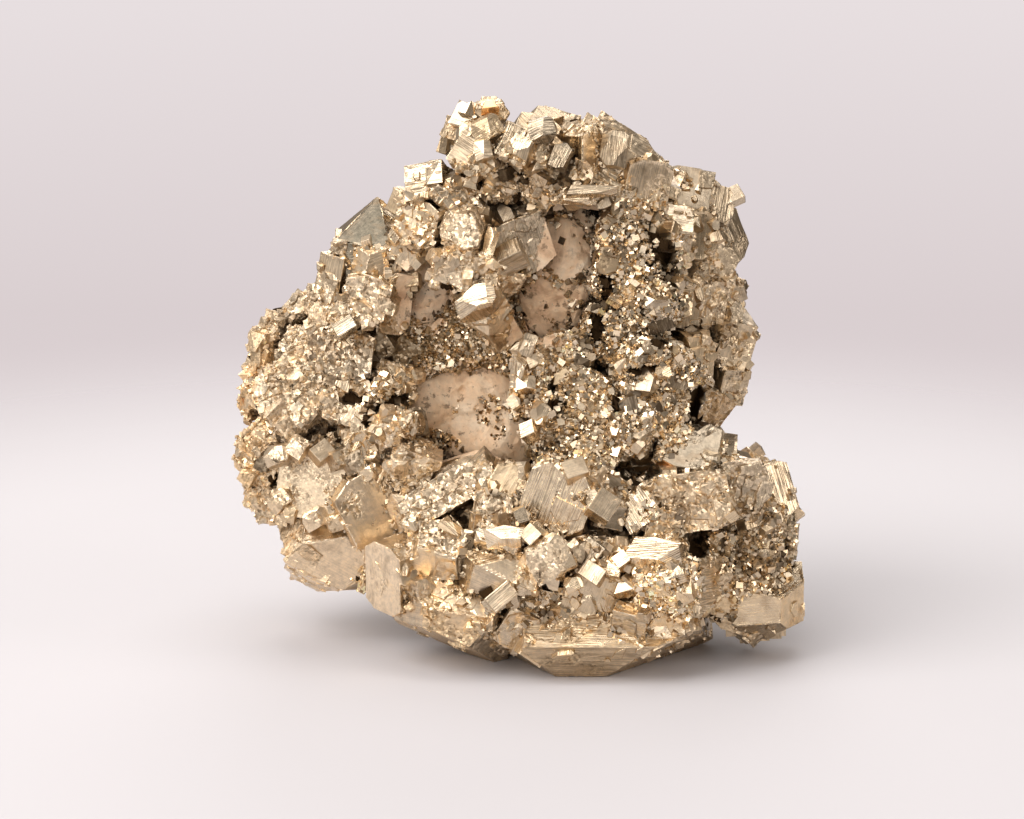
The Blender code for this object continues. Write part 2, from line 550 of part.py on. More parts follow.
def build():
    clear_scene()
    rng = random.Random(SEED)
    parts = new_collection(NAME)
    cutters = new_collection("cutters")
    below = slab("below_the_foot", (-FAR, -FAR, FOOT - FAR), (FAR, FAR, FOOT), cutters)
    front = slab("crust_side", (-FAR, -FAR, -FAR), (FAR, CRUST_BACK, FAR), cutters)
    front_room = slab("crust_side_room", (-FAR, -FAR, -FAR), (FAR, CRUST_BACK + GAP, FAR), cutters)

    rock = matrix_solid("matrix_rock", 0.0)
    rock_room = matrix_solid("matrix_room", GAP)
    crust_limit = matrix_solid("crust_limit", CRUST_REACH)
    crust_room = matrix_solid("crust_room", CRUST_REACH + GAP, (("INTERSECT", front_room),))
    for solid in (rock, rock_room, crust_limit, crust_room):
        cutters.objects.link(solid)

    crystals = new_collection("crystals_and_masses")
    for name, (centre, radii) in MASSES.items():
        lump(name, centre, radii, MASS_SWELL, MASS_RELIEF, MASS_DETAIL, crystals)
    named_crystals(crystals, rng)
    back_crystals(crystals, rng)
    cuts = (("DIFFERENCE", rock_room), ("DIFFERENCE", crust_room), ("DIFFERENCE", below))
    cluster = keep_one_shell(combine("pyrite_cluster", crystals, cuts))

    sheet = new_collection("crust_sheet_and_crystals")
    for part, (centre, radii) in MATRIX.items():
        lump(f"sheet_{part}", centre, radii, GAP + CRUST_SHEET, MATRIX_RELIEF, LUMP_DETAIL, sheet)
    crust_crystals(sheet, rng)
    bare = [lump(f"bare_{number}", centre, radii, BARE_SWELL, BARE_RELIEF, BARE_DETAIL, cutters)
            for number, (centre, radii) in enumerate(BARE)]
    cuts = [("INTERSECT", crust_limit), ("DIFFERENCE", rock_room), ("INTERSECT", front)]
    cuts += [("DIFFERENCE", blob) for blob in bare]
    crust = keep_one_shell(combine("hollow_crust", sheet, cuts))

    meshes = {"pyrite_cluster": cluster, "hollow_crust": crust, "matrix": rock.data.copy()}
    centre_over_origin(meshes.values())
    for name, mesh in meshes.items():
        finish(name, mesh, parts)


build()
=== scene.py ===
import math

import bmesh
import bpy
import numpy as np
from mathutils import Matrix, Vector, noise
from mathutils.bvhtree import BVHTree
from mathutils.geometry import delaunay_2d_cdt
from mathutils.kdtree import KDTree


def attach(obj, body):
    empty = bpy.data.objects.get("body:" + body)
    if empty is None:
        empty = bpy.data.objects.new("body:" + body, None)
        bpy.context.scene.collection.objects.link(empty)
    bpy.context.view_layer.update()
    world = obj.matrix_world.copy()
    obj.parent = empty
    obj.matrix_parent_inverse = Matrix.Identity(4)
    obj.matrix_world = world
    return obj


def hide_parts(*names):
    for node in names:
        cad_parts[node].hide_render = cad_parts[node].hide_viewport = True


# Lengths are in millimetres until a mesh is made.
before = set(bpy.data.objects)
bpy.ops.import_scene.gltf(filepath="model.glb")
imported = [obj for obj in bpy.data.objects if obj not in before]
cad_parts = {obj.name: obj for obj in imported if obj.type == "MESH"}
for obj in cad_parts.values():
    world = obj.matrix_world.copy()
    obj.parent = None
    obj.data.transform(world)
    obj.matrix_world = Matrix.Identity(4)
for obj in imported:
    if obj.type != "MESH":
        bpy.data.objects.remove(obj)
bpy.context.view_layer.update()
mm = 0.001
scene = bpy.context.scene
scene.view_settings.view_transform = "Standard"
rng = np.random.default_rng(7)

camera = {
    "aim": (-0.86, -8.28, 28.2),
    "pitch": 12.0,
    "distance": 420.0,
    "lens": 129.5,
    "sensor": 36.0,
    "clipEnd": 20.0,        # in metres
}


def makeCamera():
    data = bpy.data.cameras.new("camera")
    data.lens = camera["lens"]
    data.sensor_width = camera["sensor"]
    data.clip_end = camera["clipEnd"]
    item = bpy.data.objects.new("camera", data)
    scene.collection.objects.link(item)
    pitch = math.radians(camera["pitch"])
    aim = Vector(camera["aim"])
    back = Vector((0, -math.cos(pitch), math.sin(pitch)))
    item.location = (aim + back * camera["distance"]) * mm
    item.rotation_euler = (-back).to_track_quat("-Z", "Y").to_euler()
    scene.camera = item
    return np.array(back)


towardCamera = makeCamera()
print("camera placed")

weldScale = 1e4             # points that round to the same spot at this scale are one
tiny = 1e-9


def readSolid(name):
    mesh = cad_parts[name].data
    mesh.calc_loop_triangles()
    corners = np.empty(len(mesh.vertices) * 3)
    mesh.vertices.foreach_get("co", corners)
    corners = corners.reshape(-1, 3) / mm
    tris = np.empty(len(mesh.loop_triangles) * 3, np.int32)
    mesh.loop_triangles.foreach_get("vertices", tris)
    welded = np.round(corners * weldScale)
    _, first, merged = np.unique(welded, axis=0, return_index=True, return_inverse=True)
    tris = merged.reshape(-1)[tris].reshape(-1, 3)
    whole = (tris[:, 0] != tris[:, 1]) & (tris[:, 1] != tris[:, 2]) & (tris[:, 0] != tris[:, 2])
    return corners[first], tris[whole]


def rayTree(points, tris):
    return BVHTree.FromPolygons([tuple(p) for p in points], tris.tolist())


def measure(corners, tris):
    a, b, c = (corners[tris[:, k]] for k in range(3))
    cross = np.cross(b - a, c - a)
    double = np.linalg.norm(cross, axis=1)
    return cross / np.maximum(double, 1e-12)[:, None], double / 2


def flatFaces(corners, tris, sliver=2e-3, flat=0.9998):
    # groups the triangles into a crystal's flat faces; a sliver joins what is across its longest side
    normals, areas = measure(corners, tris)
    sides = {}
    for index, tri in enumerate(tris.tolist()):
        for k in range(3):
            one, two = tri[k], tri[(k + 1) % 3]
            sides.setdefault((min(one, two), max(one, two)), []).append(index)
    parent = list(range(len(tris)))

    def root(index):
        while parent[index] != index:
            parent[index] = parent[parent[index]]
            index = parent[index]
        return index

    longest = {}
    for pair, found in sides.items():
        if len(found) != 2:
            continue
        one, two = found
        if min(areas[one], areas[two]) > sliver:
            if normals[one] @ normals[two] > flat:
                parent[root(one)] = root(two)
        span = np.linalg.norm(corners[pair[0]] - corners[pair[1]])
        for small, other in ((one, two), (two, one)):
            if areas[small] <= sliver and span > longest.get(small, (0, 0))[0]:
                longest[small] = (span, other)
    for small, (span, other) in longest.items():
        if root(small) != root(other):
            parent[root(small)] = root(other)
    groups = {}
    for index in range(len(tris)):
        groups.setdefault(root(index), []).append(index)
    return list(groups.values()), sides, normals, areas


def tangent(normal):
    side = np.cross(normal, (0, 0, 1.0))
    if np.linalg.norm(side) < 0.2:
        side = np.cross(normal, (1.0, 0, 0))
    return side / np.linalg.norm(side)


# a crystal face's mesh, its relief and its worn edges
faceWork = {
    "along": 0.50,          # spacing of mesh points along the striations
    "across": 0.21,         # and across them
    "jitter": 0.06,
    "coarse": 2.1,          # how much wider both are on the sides away from the hollow
    "behind": 6.0,          # a face whose middle is further back than this is away from the hollow
    "turnedAway": -0.15,    # and so is one that faces the camera less than this
    "edgeAway": -0.20,      # the same for an edge
    "edgeStep": 0.55,
    "edgeWidth": 0.13,
    "edgeWear": (0.03, 0.13),
    "edgeFlat": (0.05, 0.35),   # the relief starts this far from an edge and is full this much further in
    "cornerPush": 1.2,
    "wearPatch": 0.55,      # noise frequency of the wear along an edge
    "lift": 0.5,            # clears the relief when a place's openness is measured
    "creaseStep": 0.16,
    "creaseDark": 0.34,     # width of the dark line along a crease
}

# how deep the relief of each kind of face is, the widths of its bands and the share of faces of that kind
faceKinds = {
    "polished": {"fine": 0.012, "step": 0.04, "bands": (0.45, 2.6), "length": 9.0, "grit": 0.01, "share": 0.2},
    "brushed": {"fine": 0.02, "step": 0.03, "bands": (0.45, 2.2), "length": 12.0, "grit": 0.01, "share": 0.16},
    "striated": {"fine": 0.055, "step": 0.12, "bands": (0.42, 1.7), "length": 6.0, "grit": 0.01, "share": 0.26},
    "stepped": {"fine": 0.04, "step": 0.26, "bands": (0.50, 2.0), "length": 2.6, "grit": 0.02, "share": 0.2},
    "rough": {"fine": 0.03, "step": 0.12, "bands": (0.40, 1.2), "length": 1.5, "grit": 0.13, "share": 0.18},
}
kindNames = list(faceKinds)
leastGrit = 0.015

tableSize = 4096
bandHeights = rng.random(tableSize)
waveTurns = rng.uniform(0, 2 * math.pi, tableSize)


def bandAt(value, salt):
    return bandHeights[(np.floor(value).astype(np.int64) * 131 + salt * 977) % tableSize]


def relief(u, v, kind, salt):
    # depth below a flat crystal face: fine growth lines, and broader steps that end along their length
    work = faceKinds[kind]
    one, two, three = (waveTurns[(salt * 7 + k) % tableSize] for k in range(3))
    sway = 0.22 * np.sin(0.9 * u + one) + 0.10 * np.sin(2.3 * u + 0.4 * v + two)
    fineWidth, stepWidth = work["bands"]
    depth = work["fine"] * bandAt((v + 0.15 * sway) / fineWidth, salt)
    ends = np.floor(u / work["length"] + 0.8 * np.sin(1.1 * v + three))
    depth += work["step"] * bandAt((v + sway) / stepWidth + 7.3 * ends, salt + 3)
    return depth


def roundNoise(points, scale, shift=0.0):
    return np.array([noise.noise(Vector((x * scale + shift, y * scale, z * scale))) for x, y, z in points])


def splitEdges(corners, tris, groupOf, sides, normals, outlines, coarse):
    # cuts each edge between two faces into steps; gives the points, the way each is pushed in, and the creases
    points = [tuple(p) for p in corners]
    pushes = np.zeros((len(corners), 3))
    convexCount = np.zeros(len(corners))
    concaveCount = np.zeros(len(corners))
    stepPushes, creases = [], []
    for (low, high), found in sides.items():
        if len(found) != 2 or groupOf[found[0]] == groupOf[found[1]]:
            continue
        one, two = found
        third = [p for p in tris[two] if p not in (low, high)][0]
        convex = normals[one] @ (corners[third] - corners[low]) < -1e-3
        a, b = corners[low], corners[high]
        span = np.linalg.norm(b - a)
        step = faceWork["edgeStep"] * coarse
        facing = max(normals[one] @ towardCamera, normals[two] @ towardCamera)
        if (a[1] + b[1]) / 2 > faceWork["behind"] or facing < faceWork["edgeAway"]:
            step *= faceWork["coarse"]
        both = normals[one] + normals[two]
        both = both / max(np.linalg.norm(both), 1e-6)
        chain = [low]
        count = max(1, int(math.ceil(span / step)))
        for k in range(1, count):
            chain.append(len(points))
            points.append(tuple(a + (b - a) * k / count))
            stepPushes.append(both if convex else both * 0)
        chain.append(high)
        for end in (low, high):
            if convex:
                pushes[end] += both
                convexCount[end] += 1
            else:
                concaveCount[end] += 1
        for group in (groupOf[one], groupOf[two]):
            outlines[group].append((chain, convex))
        if not convex:
            for part in range(int(span / faceWork["creaseStep"]) + 1):
                creases.append(a + (b - a) * min(part * faceWork["creaseStep"] / max(span, 1e-6), 1.0))
    length = np.maximum(np.linalg.norm(pushes, axis=1), 1e-6)[:, None]
    share = (convexCount / np.maximum(convexCount + concaveCount, 1))[:, None]
    pushes = pushes / length * share * faceWork["cornerPush"]
    return np.array(points), np.vstack([pushes, np.array(stepPushes).reshape(-1, 3)]), creases


def wornEdges(points, pushes):
    amount = roundNoise(points, faceWork["wearPatch"]) * 0.5 + 0.5
    low, high = faceWork["edgeWear"]
    amount = low + (high - low) * np.clip(amount * 1.6 - 0.3, 0, 1)
    return points - pushes * amount[:, None]


def alongFace(normal, chains, points):
    # the striations follow the face's longest outer edge
    along, best = tangent(normal), 0.0
    for chain, convex in chains:
        line = points[chain[-1]] - points[chain[0]]
        span = np.linalg.norm(line)
        if convex and span > best:
            best, along = span, line / span
    along = along - normal * (along @ normal)
    return along / max(np.linalg.norm(along), tiny)


def insideFace(spots, flatTris):
    inside = np.zeros(len(spots), bool)
    for flat in flatTris:
        inside |= inTriangle(spots, *flat)
    return inside


def fillFace(area, rim, chains, place, flatTris, away, coarse):
    # flat points inside a face: staggered rows, and a row beside each outer edge that keeps its wear narrow
    factor = coarse * (faceWork["coarse"] if away else 1.0)
    stepU, stepV = faceWork["along"] * factor, faceWork["across"] * factor
    if area <= stepU * stepV * 3:
        return np.empty((0, 2))
    lowU, lowV = rim.min(axis=0)
    highU, highV = rim.max(axis=0)
    us = np.arange(lowU + 0.3 * stepU, highU, stepU)
    vs = np.arange(lowV + 0.5 * stepV, highV, stepV)
    gridU, gridV = np.meshgrid(us, vs, indexing="ij")
    gridU = gridU + (np.arange(len(vs)) % 2)[None, :] * stepU * 0.5
    inner = np.stack([gridU.ravel(), gridV.ravel()], axis=1)
    inner = inner + rng.uniform(-faceWork["jitter"], faceWork["jitter"], inner.shape) * factor
    inner = inner[insideFace(inner, flatTris)]
    rows = []
    for chain, convex in chains:
        if not convex or away:
            continue
        a, b = rim[place[chain[0]]], rim[place[chain[-1]]]
        line = (b - a) / max(np.linalg.norm(b - a), tiny)
        side = np.array((-line[1], line[0])) * faceWork["edgeWidth"]
        for point in chain:
            spot = rim[place[point]]
            rows += [spot + side, spot - side]
    if rows:
        rows = np.array(rows)
        inner = np.vstack([rows[insideFace(rows, flatTris)], inner])
    return thinOut(inner, rim, stepV * 0.55)


def carved(flat, face, rim, edges, salt):
    # a face's inner points in space, sunk by its relief and grit, which fade out at its edges
    spots = face["middle"] + flat[:, :1] * face["along"] + flat[:, 1:] * face["across"]
    gap = edgeGap(flat, rim, edges)
    start, width = faceWork["edgeFlat"]
    depth = relief(flat[:, 0], flat[:, 1], face["kind"], salt) * np.clip((gap - start) / width, 0, 1)
    grit = faceKinds[face["kind"]]["grit"]
    if grit > leastGrit:
        bumps = roundNoise(spots, 1.1) + 0.6 * roundNoise(spots, 2.7) + 0.6
        depth = depth + grit * np.clip(gap / 0.4, 0, 1) * bumps
    return spots - depth[:, None] * face["normal"]


def dressFaces(name, pickKind, coarse=1.0, notes=()):
    # rebuilds a solid's surface face by face, with points along and across each face's striations
    corners, tris = readSolid(name)
    groups, sides, normals, areas = flatFaces(corners, tris)
    groupOf = np.empty(len(tris), np.int64)
    for index, members in enumerate(groups):
        groupOf[members] = index
    own = rayTree(corners, tris)
    noteOf = {int(groupOf[own.find_nearest(Vector(note[0]))[2]]): note[1:] for note in notes}
    outlines = [[] for _ in groups]       # the point chains round each face, with how the edge bends
    edgePoints, pushes, creases = splitEdges(corners, tris, groupOf, sides, normals, outlines, coarse)
    moved = [wornEdges(edgePoints, pushes)]
    nextPoint = len(edgePoints)
    faceFrames = []                       # each face's own axes, looks and triangles
    allTris, triGroup, grain = [], [], []
    table = np.zeros((len(groups), 4))
    groupNormal = np.array([(normals[m] * np.maximum(areas[m], tiny)[:, None]).sum(axis=0) for m in groups])
    for index, members in enumerate(groups):
        chains = outlines[index]
        if not chains:
            continue
        area = areas[members].sum()
        normal = groupNormal[index] / max(np.linalg.norm(groupNormal[index]), tiny)
        along = alongFace(normal, chains, edgePoints)
        across = np.cross(normal, along)
        ids = sorted({p for chain, _ in chains for p in chain})
        place = {p: k for k, p in enumerate(ids)}
        middle = edgePoints[ids].mean(axis=0)
        kind, table[index] = pickKind(index, middle, normal, area, noteOf.get(index))
        face = {"along": along, "across": across, "normal": normal, "middle": middle, "area": area,
                "kind": kind, "looks": table[index], "members": members}
        faceFrames.append(face)
        flat = edgePoints[ids] - middle
        rim = np.stack([flat @ along, flat @ across], axis=1)
        edges = [(place[chain[k]], place[chain[k + 1]]) for chain, _ in chains for k in range(len(chain) - 1)]
        flatTris = [[((corners[t] - middle) @ along, (corners[t] - middle) @ across) for t in tris[member]]
                    for member in members]
        away = middle[1] > faceWork["behind"] or normal @ towardCamera < faceWork["turnedAway"]
        inner = fillFace(area, rim, chains, place, flatTris, away, coarse)
        flatPoints = [Vector(p) for p in np.vstack([rim, inner])]
        made, _, faces, origin, _, _ = delaunay_2d_cdt(flatPoints, edges, [], 2, 1e-5)
        lookup, newSpots = [], []
        for k, sources in enumerate(origin):
            if sources and sources[0] < len(ids):
                lookup.append(ids[sources[0]])
            else:
                lookup.append(nextPoint + len(newSpots))
                newSpots.append(tuple(made[k]))
        if newSpots:
            moved.append(carved(np.array(newSpots), face, rim, edges, index))
        for triangle in faces:
            if len(triangle) == 3:
                allTris.append([lookup[k] for k in triangle])
                triGroup.append(index)
                grain.extend((made[k][0], made[k][1], index * 0.37) for k in triangle)
        nextPoint += len(newSpots)
    points = np.vstack(moved)
    allTris = np.array(allTris, np.int64)
    grain = np.array(grain).reshape(-1, 3, 3)
    cross, _ = measure(points, allTris)
    flip = (cross * groupNormal[triGroup]).sum(axis=1) < 0
    allTris[flip] = allTris[flip][:, ::-1]
    grain[flip] = grain[flip][:, ::-1]
    return {
        "points": points,
        "tris": allTris,
        "grain": grain.reshape(-1, 3),
        "looks": table[triGroup],
        "creases": creases,
        "solid": (corners, tris),
        "faces": faceFrames,
    }


def inTriangle(spots, p, q, r):
    p, q, r = np.array(p), np.array(q), np.array(r)

    def side(a, b):
        return (b[0] - a[0]) * (spots[:, 1] - a[1]) - (b[1] - a[1]) * (spots[:, 0] - a[0])

    one, two, three = side(p, q), side(q, r), side(r, p)
    return ((one >= 0) & (two >= 0) & (three >= 0)) | ((one <= 0) & (two <= 0) & (three <= 0))


def thinOut(inner, rim, least):
    # drops points that are too near an edge or one another
    if not len(inner):
        return inner
    tree = KDTree(len(rim) + len(inner))
    for k, p in enumerate(rim):
        tree.insert((p[0], p[1], 0), k)
    for k, p in enumerate(inner):
        tree.insert((p[0], p[1], 0), k + len(rim))
    tree.balance()
    gone = set()
    for k, p in enumerate(inner):
        own = k + len(rim)
        if own in gone:
            continue
        for _, other, gap in tree.find_range((p[0], p[1], 0), least):
            if other < len(rim):
                gone.add(own)
                break
            if other > own:
                gone.add(other)
    return inner[[k for k in range(len(inner)) if k + len(rim) not in gone]]


def edgeGap(spots, rim, edges):
    # distance from each point to the face's outline
    gap = np.full(len(spots), 1e9)
    for a, b in edges:
        start, line = rim[a], rim[b] - rim[a]
        share = np.clip(((spots - start) @ line) / max(line @ line, 1e-12), 0, 1)
        near = spots - start - share[:, None] * line
        gap = np.minimum(gap, (near ** 2).sum(axis=1))
    return np.sqrt(gap)


def makeMesh(name, points, tris, attributes, materialName, sharpFrom=14.0):
    mesh = bpy.data.meshes.new(name)
    mesh.vertices.add(len(points))
    mesh.vertices.foreach_set("co", (points * mm).astype(np.float32).ravel())
    mesh.loops.add(len(tris) * 3)
    mesh.loops.foreach_set("vertex_index", tris.astype(np.int32).ravel())
    mesh.polygons.add(len(tris))
    mesh.polygons.foreach_set("loop_start", np.arange(0, len(tris) * 3, 3, dtype=np.int32))
    mesh.polygons.foreach_set("loop_total", np.full(len(tris), 3, np.int32))
    mesh.update(calc_edges=True)
    for label, (kind, domain, values) in attributes.items():
        layer = mesh.attributes.new(label, kind, domain)
        key = {"FLOAT": "value", "FLOAT_VECTOR": "vector", "FLOAT_COLOR": "color"}[kind]
        layer.data.foreach_set(key, np.asarray(values, np.float32).ravel())
    mesh.validate()
    mesh.set_sharp_from_angle(angle=math.radians(sharpFrom))
    mesh.materials.append(bpy.data.materials[materialName])
    item = bpy.data.objects.new(name, mesh)
    scene.collection.objects.link(item)
    return item


# how open each place is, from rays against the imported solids
occlusion = {
    "rays": 28,             # in all directions
    "reach": 7.0,
    "graze": 0.08,          # rays flatter to the surface than this don't count
    "blocked": (0.7, 1.2),  # what a stopped ray still counts: greatest share, and power of how far it got
}


def solidTree():
    corners, tris, base = [], [], 0
    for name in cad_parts:
        points, faces = readSolid(name)
        corners.append(points)
        tris.append(faces + base)
        base += len(points)
    return rayTree(np.vstack(corners), np.vstack(tris))


solids = solidTree()


def sphereDirections(count):
    golden = math.pi * (3 - math.sqrt(5))
    height = 1 - 2 * (np.arange(count) + 0.5) / count
    ring = np.sqrt(1 - height ** 2)
    turn = golden * np.arange(count)
    return np.stack([ring * np.cos(turn), ring * np.sin(turn), height], axis=1)


raySet = [Vector(d) for d in sphereDirections(occlusion["rays"])]


def openness(points, normals, lift):
    # share of the rays from each place that leave without meeting the specimen within reach
    reach, graze = occlusion["reach"], occlusion["graze"]
    share, power = occlusion["blocked"]
    result = np.empty(len(points))
    starts = points + normals * np.asarray(lift).reshape(-1, 1)
    for index in range(len(points)):
        start = Vector(starts[index])
        out = Vector(normals[index])
        clear = total = 0.0
        for ray in raySet:
            weight = ray.dot(out)
            if weight > graze:
                total += weight
                gap = solids.ray_cast(start, ray, reach)[3]
                clear += weight if gap is None else weight * share * (gap / reach) ** power
        result[index] = clear / max(total, 1e-6)
    return result


def pointNormals(points, tris):
    normals, areas = measure(points, tris)
    sums = np.zeros((len(points), 3))
    for k in range(3):
        np.add.at(sums, tris[:, k], normals * areas[:, None])
    return sums / np.maximum(np.linalg.norm(sums, axis=1), tiny)[:, None]


def group(name, inputs, outputs):
    tree = bpy.data.node_groups.new(name, "ShaderNodeTree")
    for label, value in inputs.items():
        socket = tree.interface.new_socket(name=label, in_out="INPUT", socket_type="NodeSocketFloat")
        socket.default_value = value
    for label in outputs:
        kind = "NodeSocketColor" if label == "Color" else "NodeSocketFloat"
        tree.interface.new_socket(name=label, in_out="OUTPUT", socket_type=kind)
    return tree, tree.nodes.new("NodeGroupInput").outputs, tree.nodes.new("NodeGroupOutput").inputs


def addNode(tree, kind, settings=None, **inputs):
    # an input is named, or i and its number; its value is a socket to link or something to set
    made = tree.nodes.new("ShaderNode" + kind)
    for key, value in (settings or {}).items():
        setattr(made, key, value)
    for key, value in inputs.items():
        numbered = key[0] == "i" and key[1:].isdigit()
        socket = made.inputs[int(key[1:]) if numbered else key.replace("_", " ")]
        if isinstance(value, bpy.types.NodeSocket):
            tree.links.new(value, socket)
        else:
            socket.default_value = value
    return made


def attribute(tree, name, output="Fac"):
    return addNode(tree, "Attribute", {"attribute_name": name}).outputs[output]


def objectPlace(tree):
    return addNode(tree, "TexCoord").outputs["Object"]


def maths(tree, operation, one, two=0.0, clamp=False):
    return addNode(tree, "Math", {"operation": operation, "use_clamp": clamp}, i0=one, i1=two).outputs[0]


def times(tree, one, two, clamp=False):
    return maths(tree, "MULTIPLY", one, two, clamp)


def plus(tree, total, *parts):
    for part in parts:
        total = maths(tree, "ADD", total, part)
    return total


def vectors(tree, operation, one, output="Vector", **inputs):
    return addNode(tree, "VectorMath", {"operation": operation}, i0=one, **inputs).outputs[output]


def remap(tree, value, low, high, toLow=0.0, toHigh=1.0):
    return addNode(tree, "MapRange", None, i0=value, i1=low, i2=high, i3=toLow, i4=toHigh).outputs[0]


def mixed(tree, share, one, two):
    return addNode(tree, "Mix", None, i0=share, i2=one, i3=two).outputs[0]


def mixColour(tree, blend, share, one, two):
    made = addNode(tree, "Mix", {"data_type": "RGBA", "blend_type": blend}, i0=share, i6=one, i7=two)
    return made.outputs[2]


def noiseAt(tree, vector, scale, detail=2.0, roughness=0.5, distortion=0.0, output="Fac"):
    made = addNode(tree, "TexNoise", None, Vector=vector, Scale=scale, Detail=detail,
                   Roughness=roughness, Distortion=distortion)
    return made.outputs[output]


def ramp(tree, value, stops):
    made = addNode(tree, "ValToRGB", None, i0=value)
    while len(made.color_ramp.elements) < len(stops):
        made.color_ramp.elements.new(0.5)
    for element, (position, colour) in zip(made.color_ramp.elements, stops):
        element.position = position
        element.color = (*colour, 1)
    return made.outputs[0]


# colours by tint, and the sizes of the textures' patches as noise scales for each metre
pyrite = {
    "colours": (
        (0.00, (0.34, 0.30, 0.22)),
        (0.22, (0.63, 0.52, 0.38)),
        (0.48, (0.83, 0.66, 0.455)),
        (0.72, (0.84, 0.63, 0.385)),
        (0.88, (0.79, 0.50, 0.24)),
        (1.00, (0.58, 0.26, 0.09)),
    ),
    # colour of the painted shade in creases and hollows, and of the dark pocks and cracks
    "grime": (0.056, 0.033, 0.016, 1),
    "wash": (0.27, 0.175, 0.095, 1),
    "mottle": 260.0,
    "speckle": 1500.0,
    "tarnish": 120.0,
    "washPatches": 360.0,
    "pocks": 700.0,
    "cracks": 620.0,
    "grains": 2700.0,
    "warp": (600.0, 0.0011),    # scale, and how far in metres the grains and cracks are warped
    "facetTilt": 1050.0,
    "toothWidth": 0.17,
}


def growthLines():
    # the fine lines that run along each crystal face: toothed ridges over broader bands
    tree, given, out = group("growth lines", {"Strength": 1.0, "Spacing": 1.0}, ("Height", "Lines"))
    grain = vectors(tree, "SCALE", attribute(tree, "grain", "Vector"), Scale=given["Spacing"])
    broad = noiseAt(tree, vectors(tree, "MULTIPLY", grain, i1=(0.10, 1.5, 5.0)), 1.0, 2.0, 0.55)
    fine = noiseAt(tree, vectors(tree, "MULTIPLY", grain, i1=(0.16, 4.6, 9.0)), 1.0, 2.0, 0.6)
    patches = noiseAt(tree, vectors(tree, "MULTIPLY", grain, i1=(0.28, 0.75, 7.0)), 1.0, 2.0)
    across = addNode(tree, "SeparateXYZ", None, i0=grain).outputs[1]
    warped = plus(tree, across, times(tree, broad, 1.6))
    tooth = remap(tree, maths(tree, "PINGPONG", warped, pyrite["toothWidth"]), 0.0, pyrite["toothWidth"])
    lines = plus(tree, times(tree, broad, 0.35), times(tree, fine, 0.35), times(tree, tooth, 0.30))
    tree.links.new(remap(tree, lines, 0.32, 0.68), out["Lines"])
    depth = times(tree, remap(tree, patches, 0.40, 0.60, 0.25, 1.0), given["Strength"])
    tree.links.new(times(tree, lines, depth), out["Height"])
    return tree


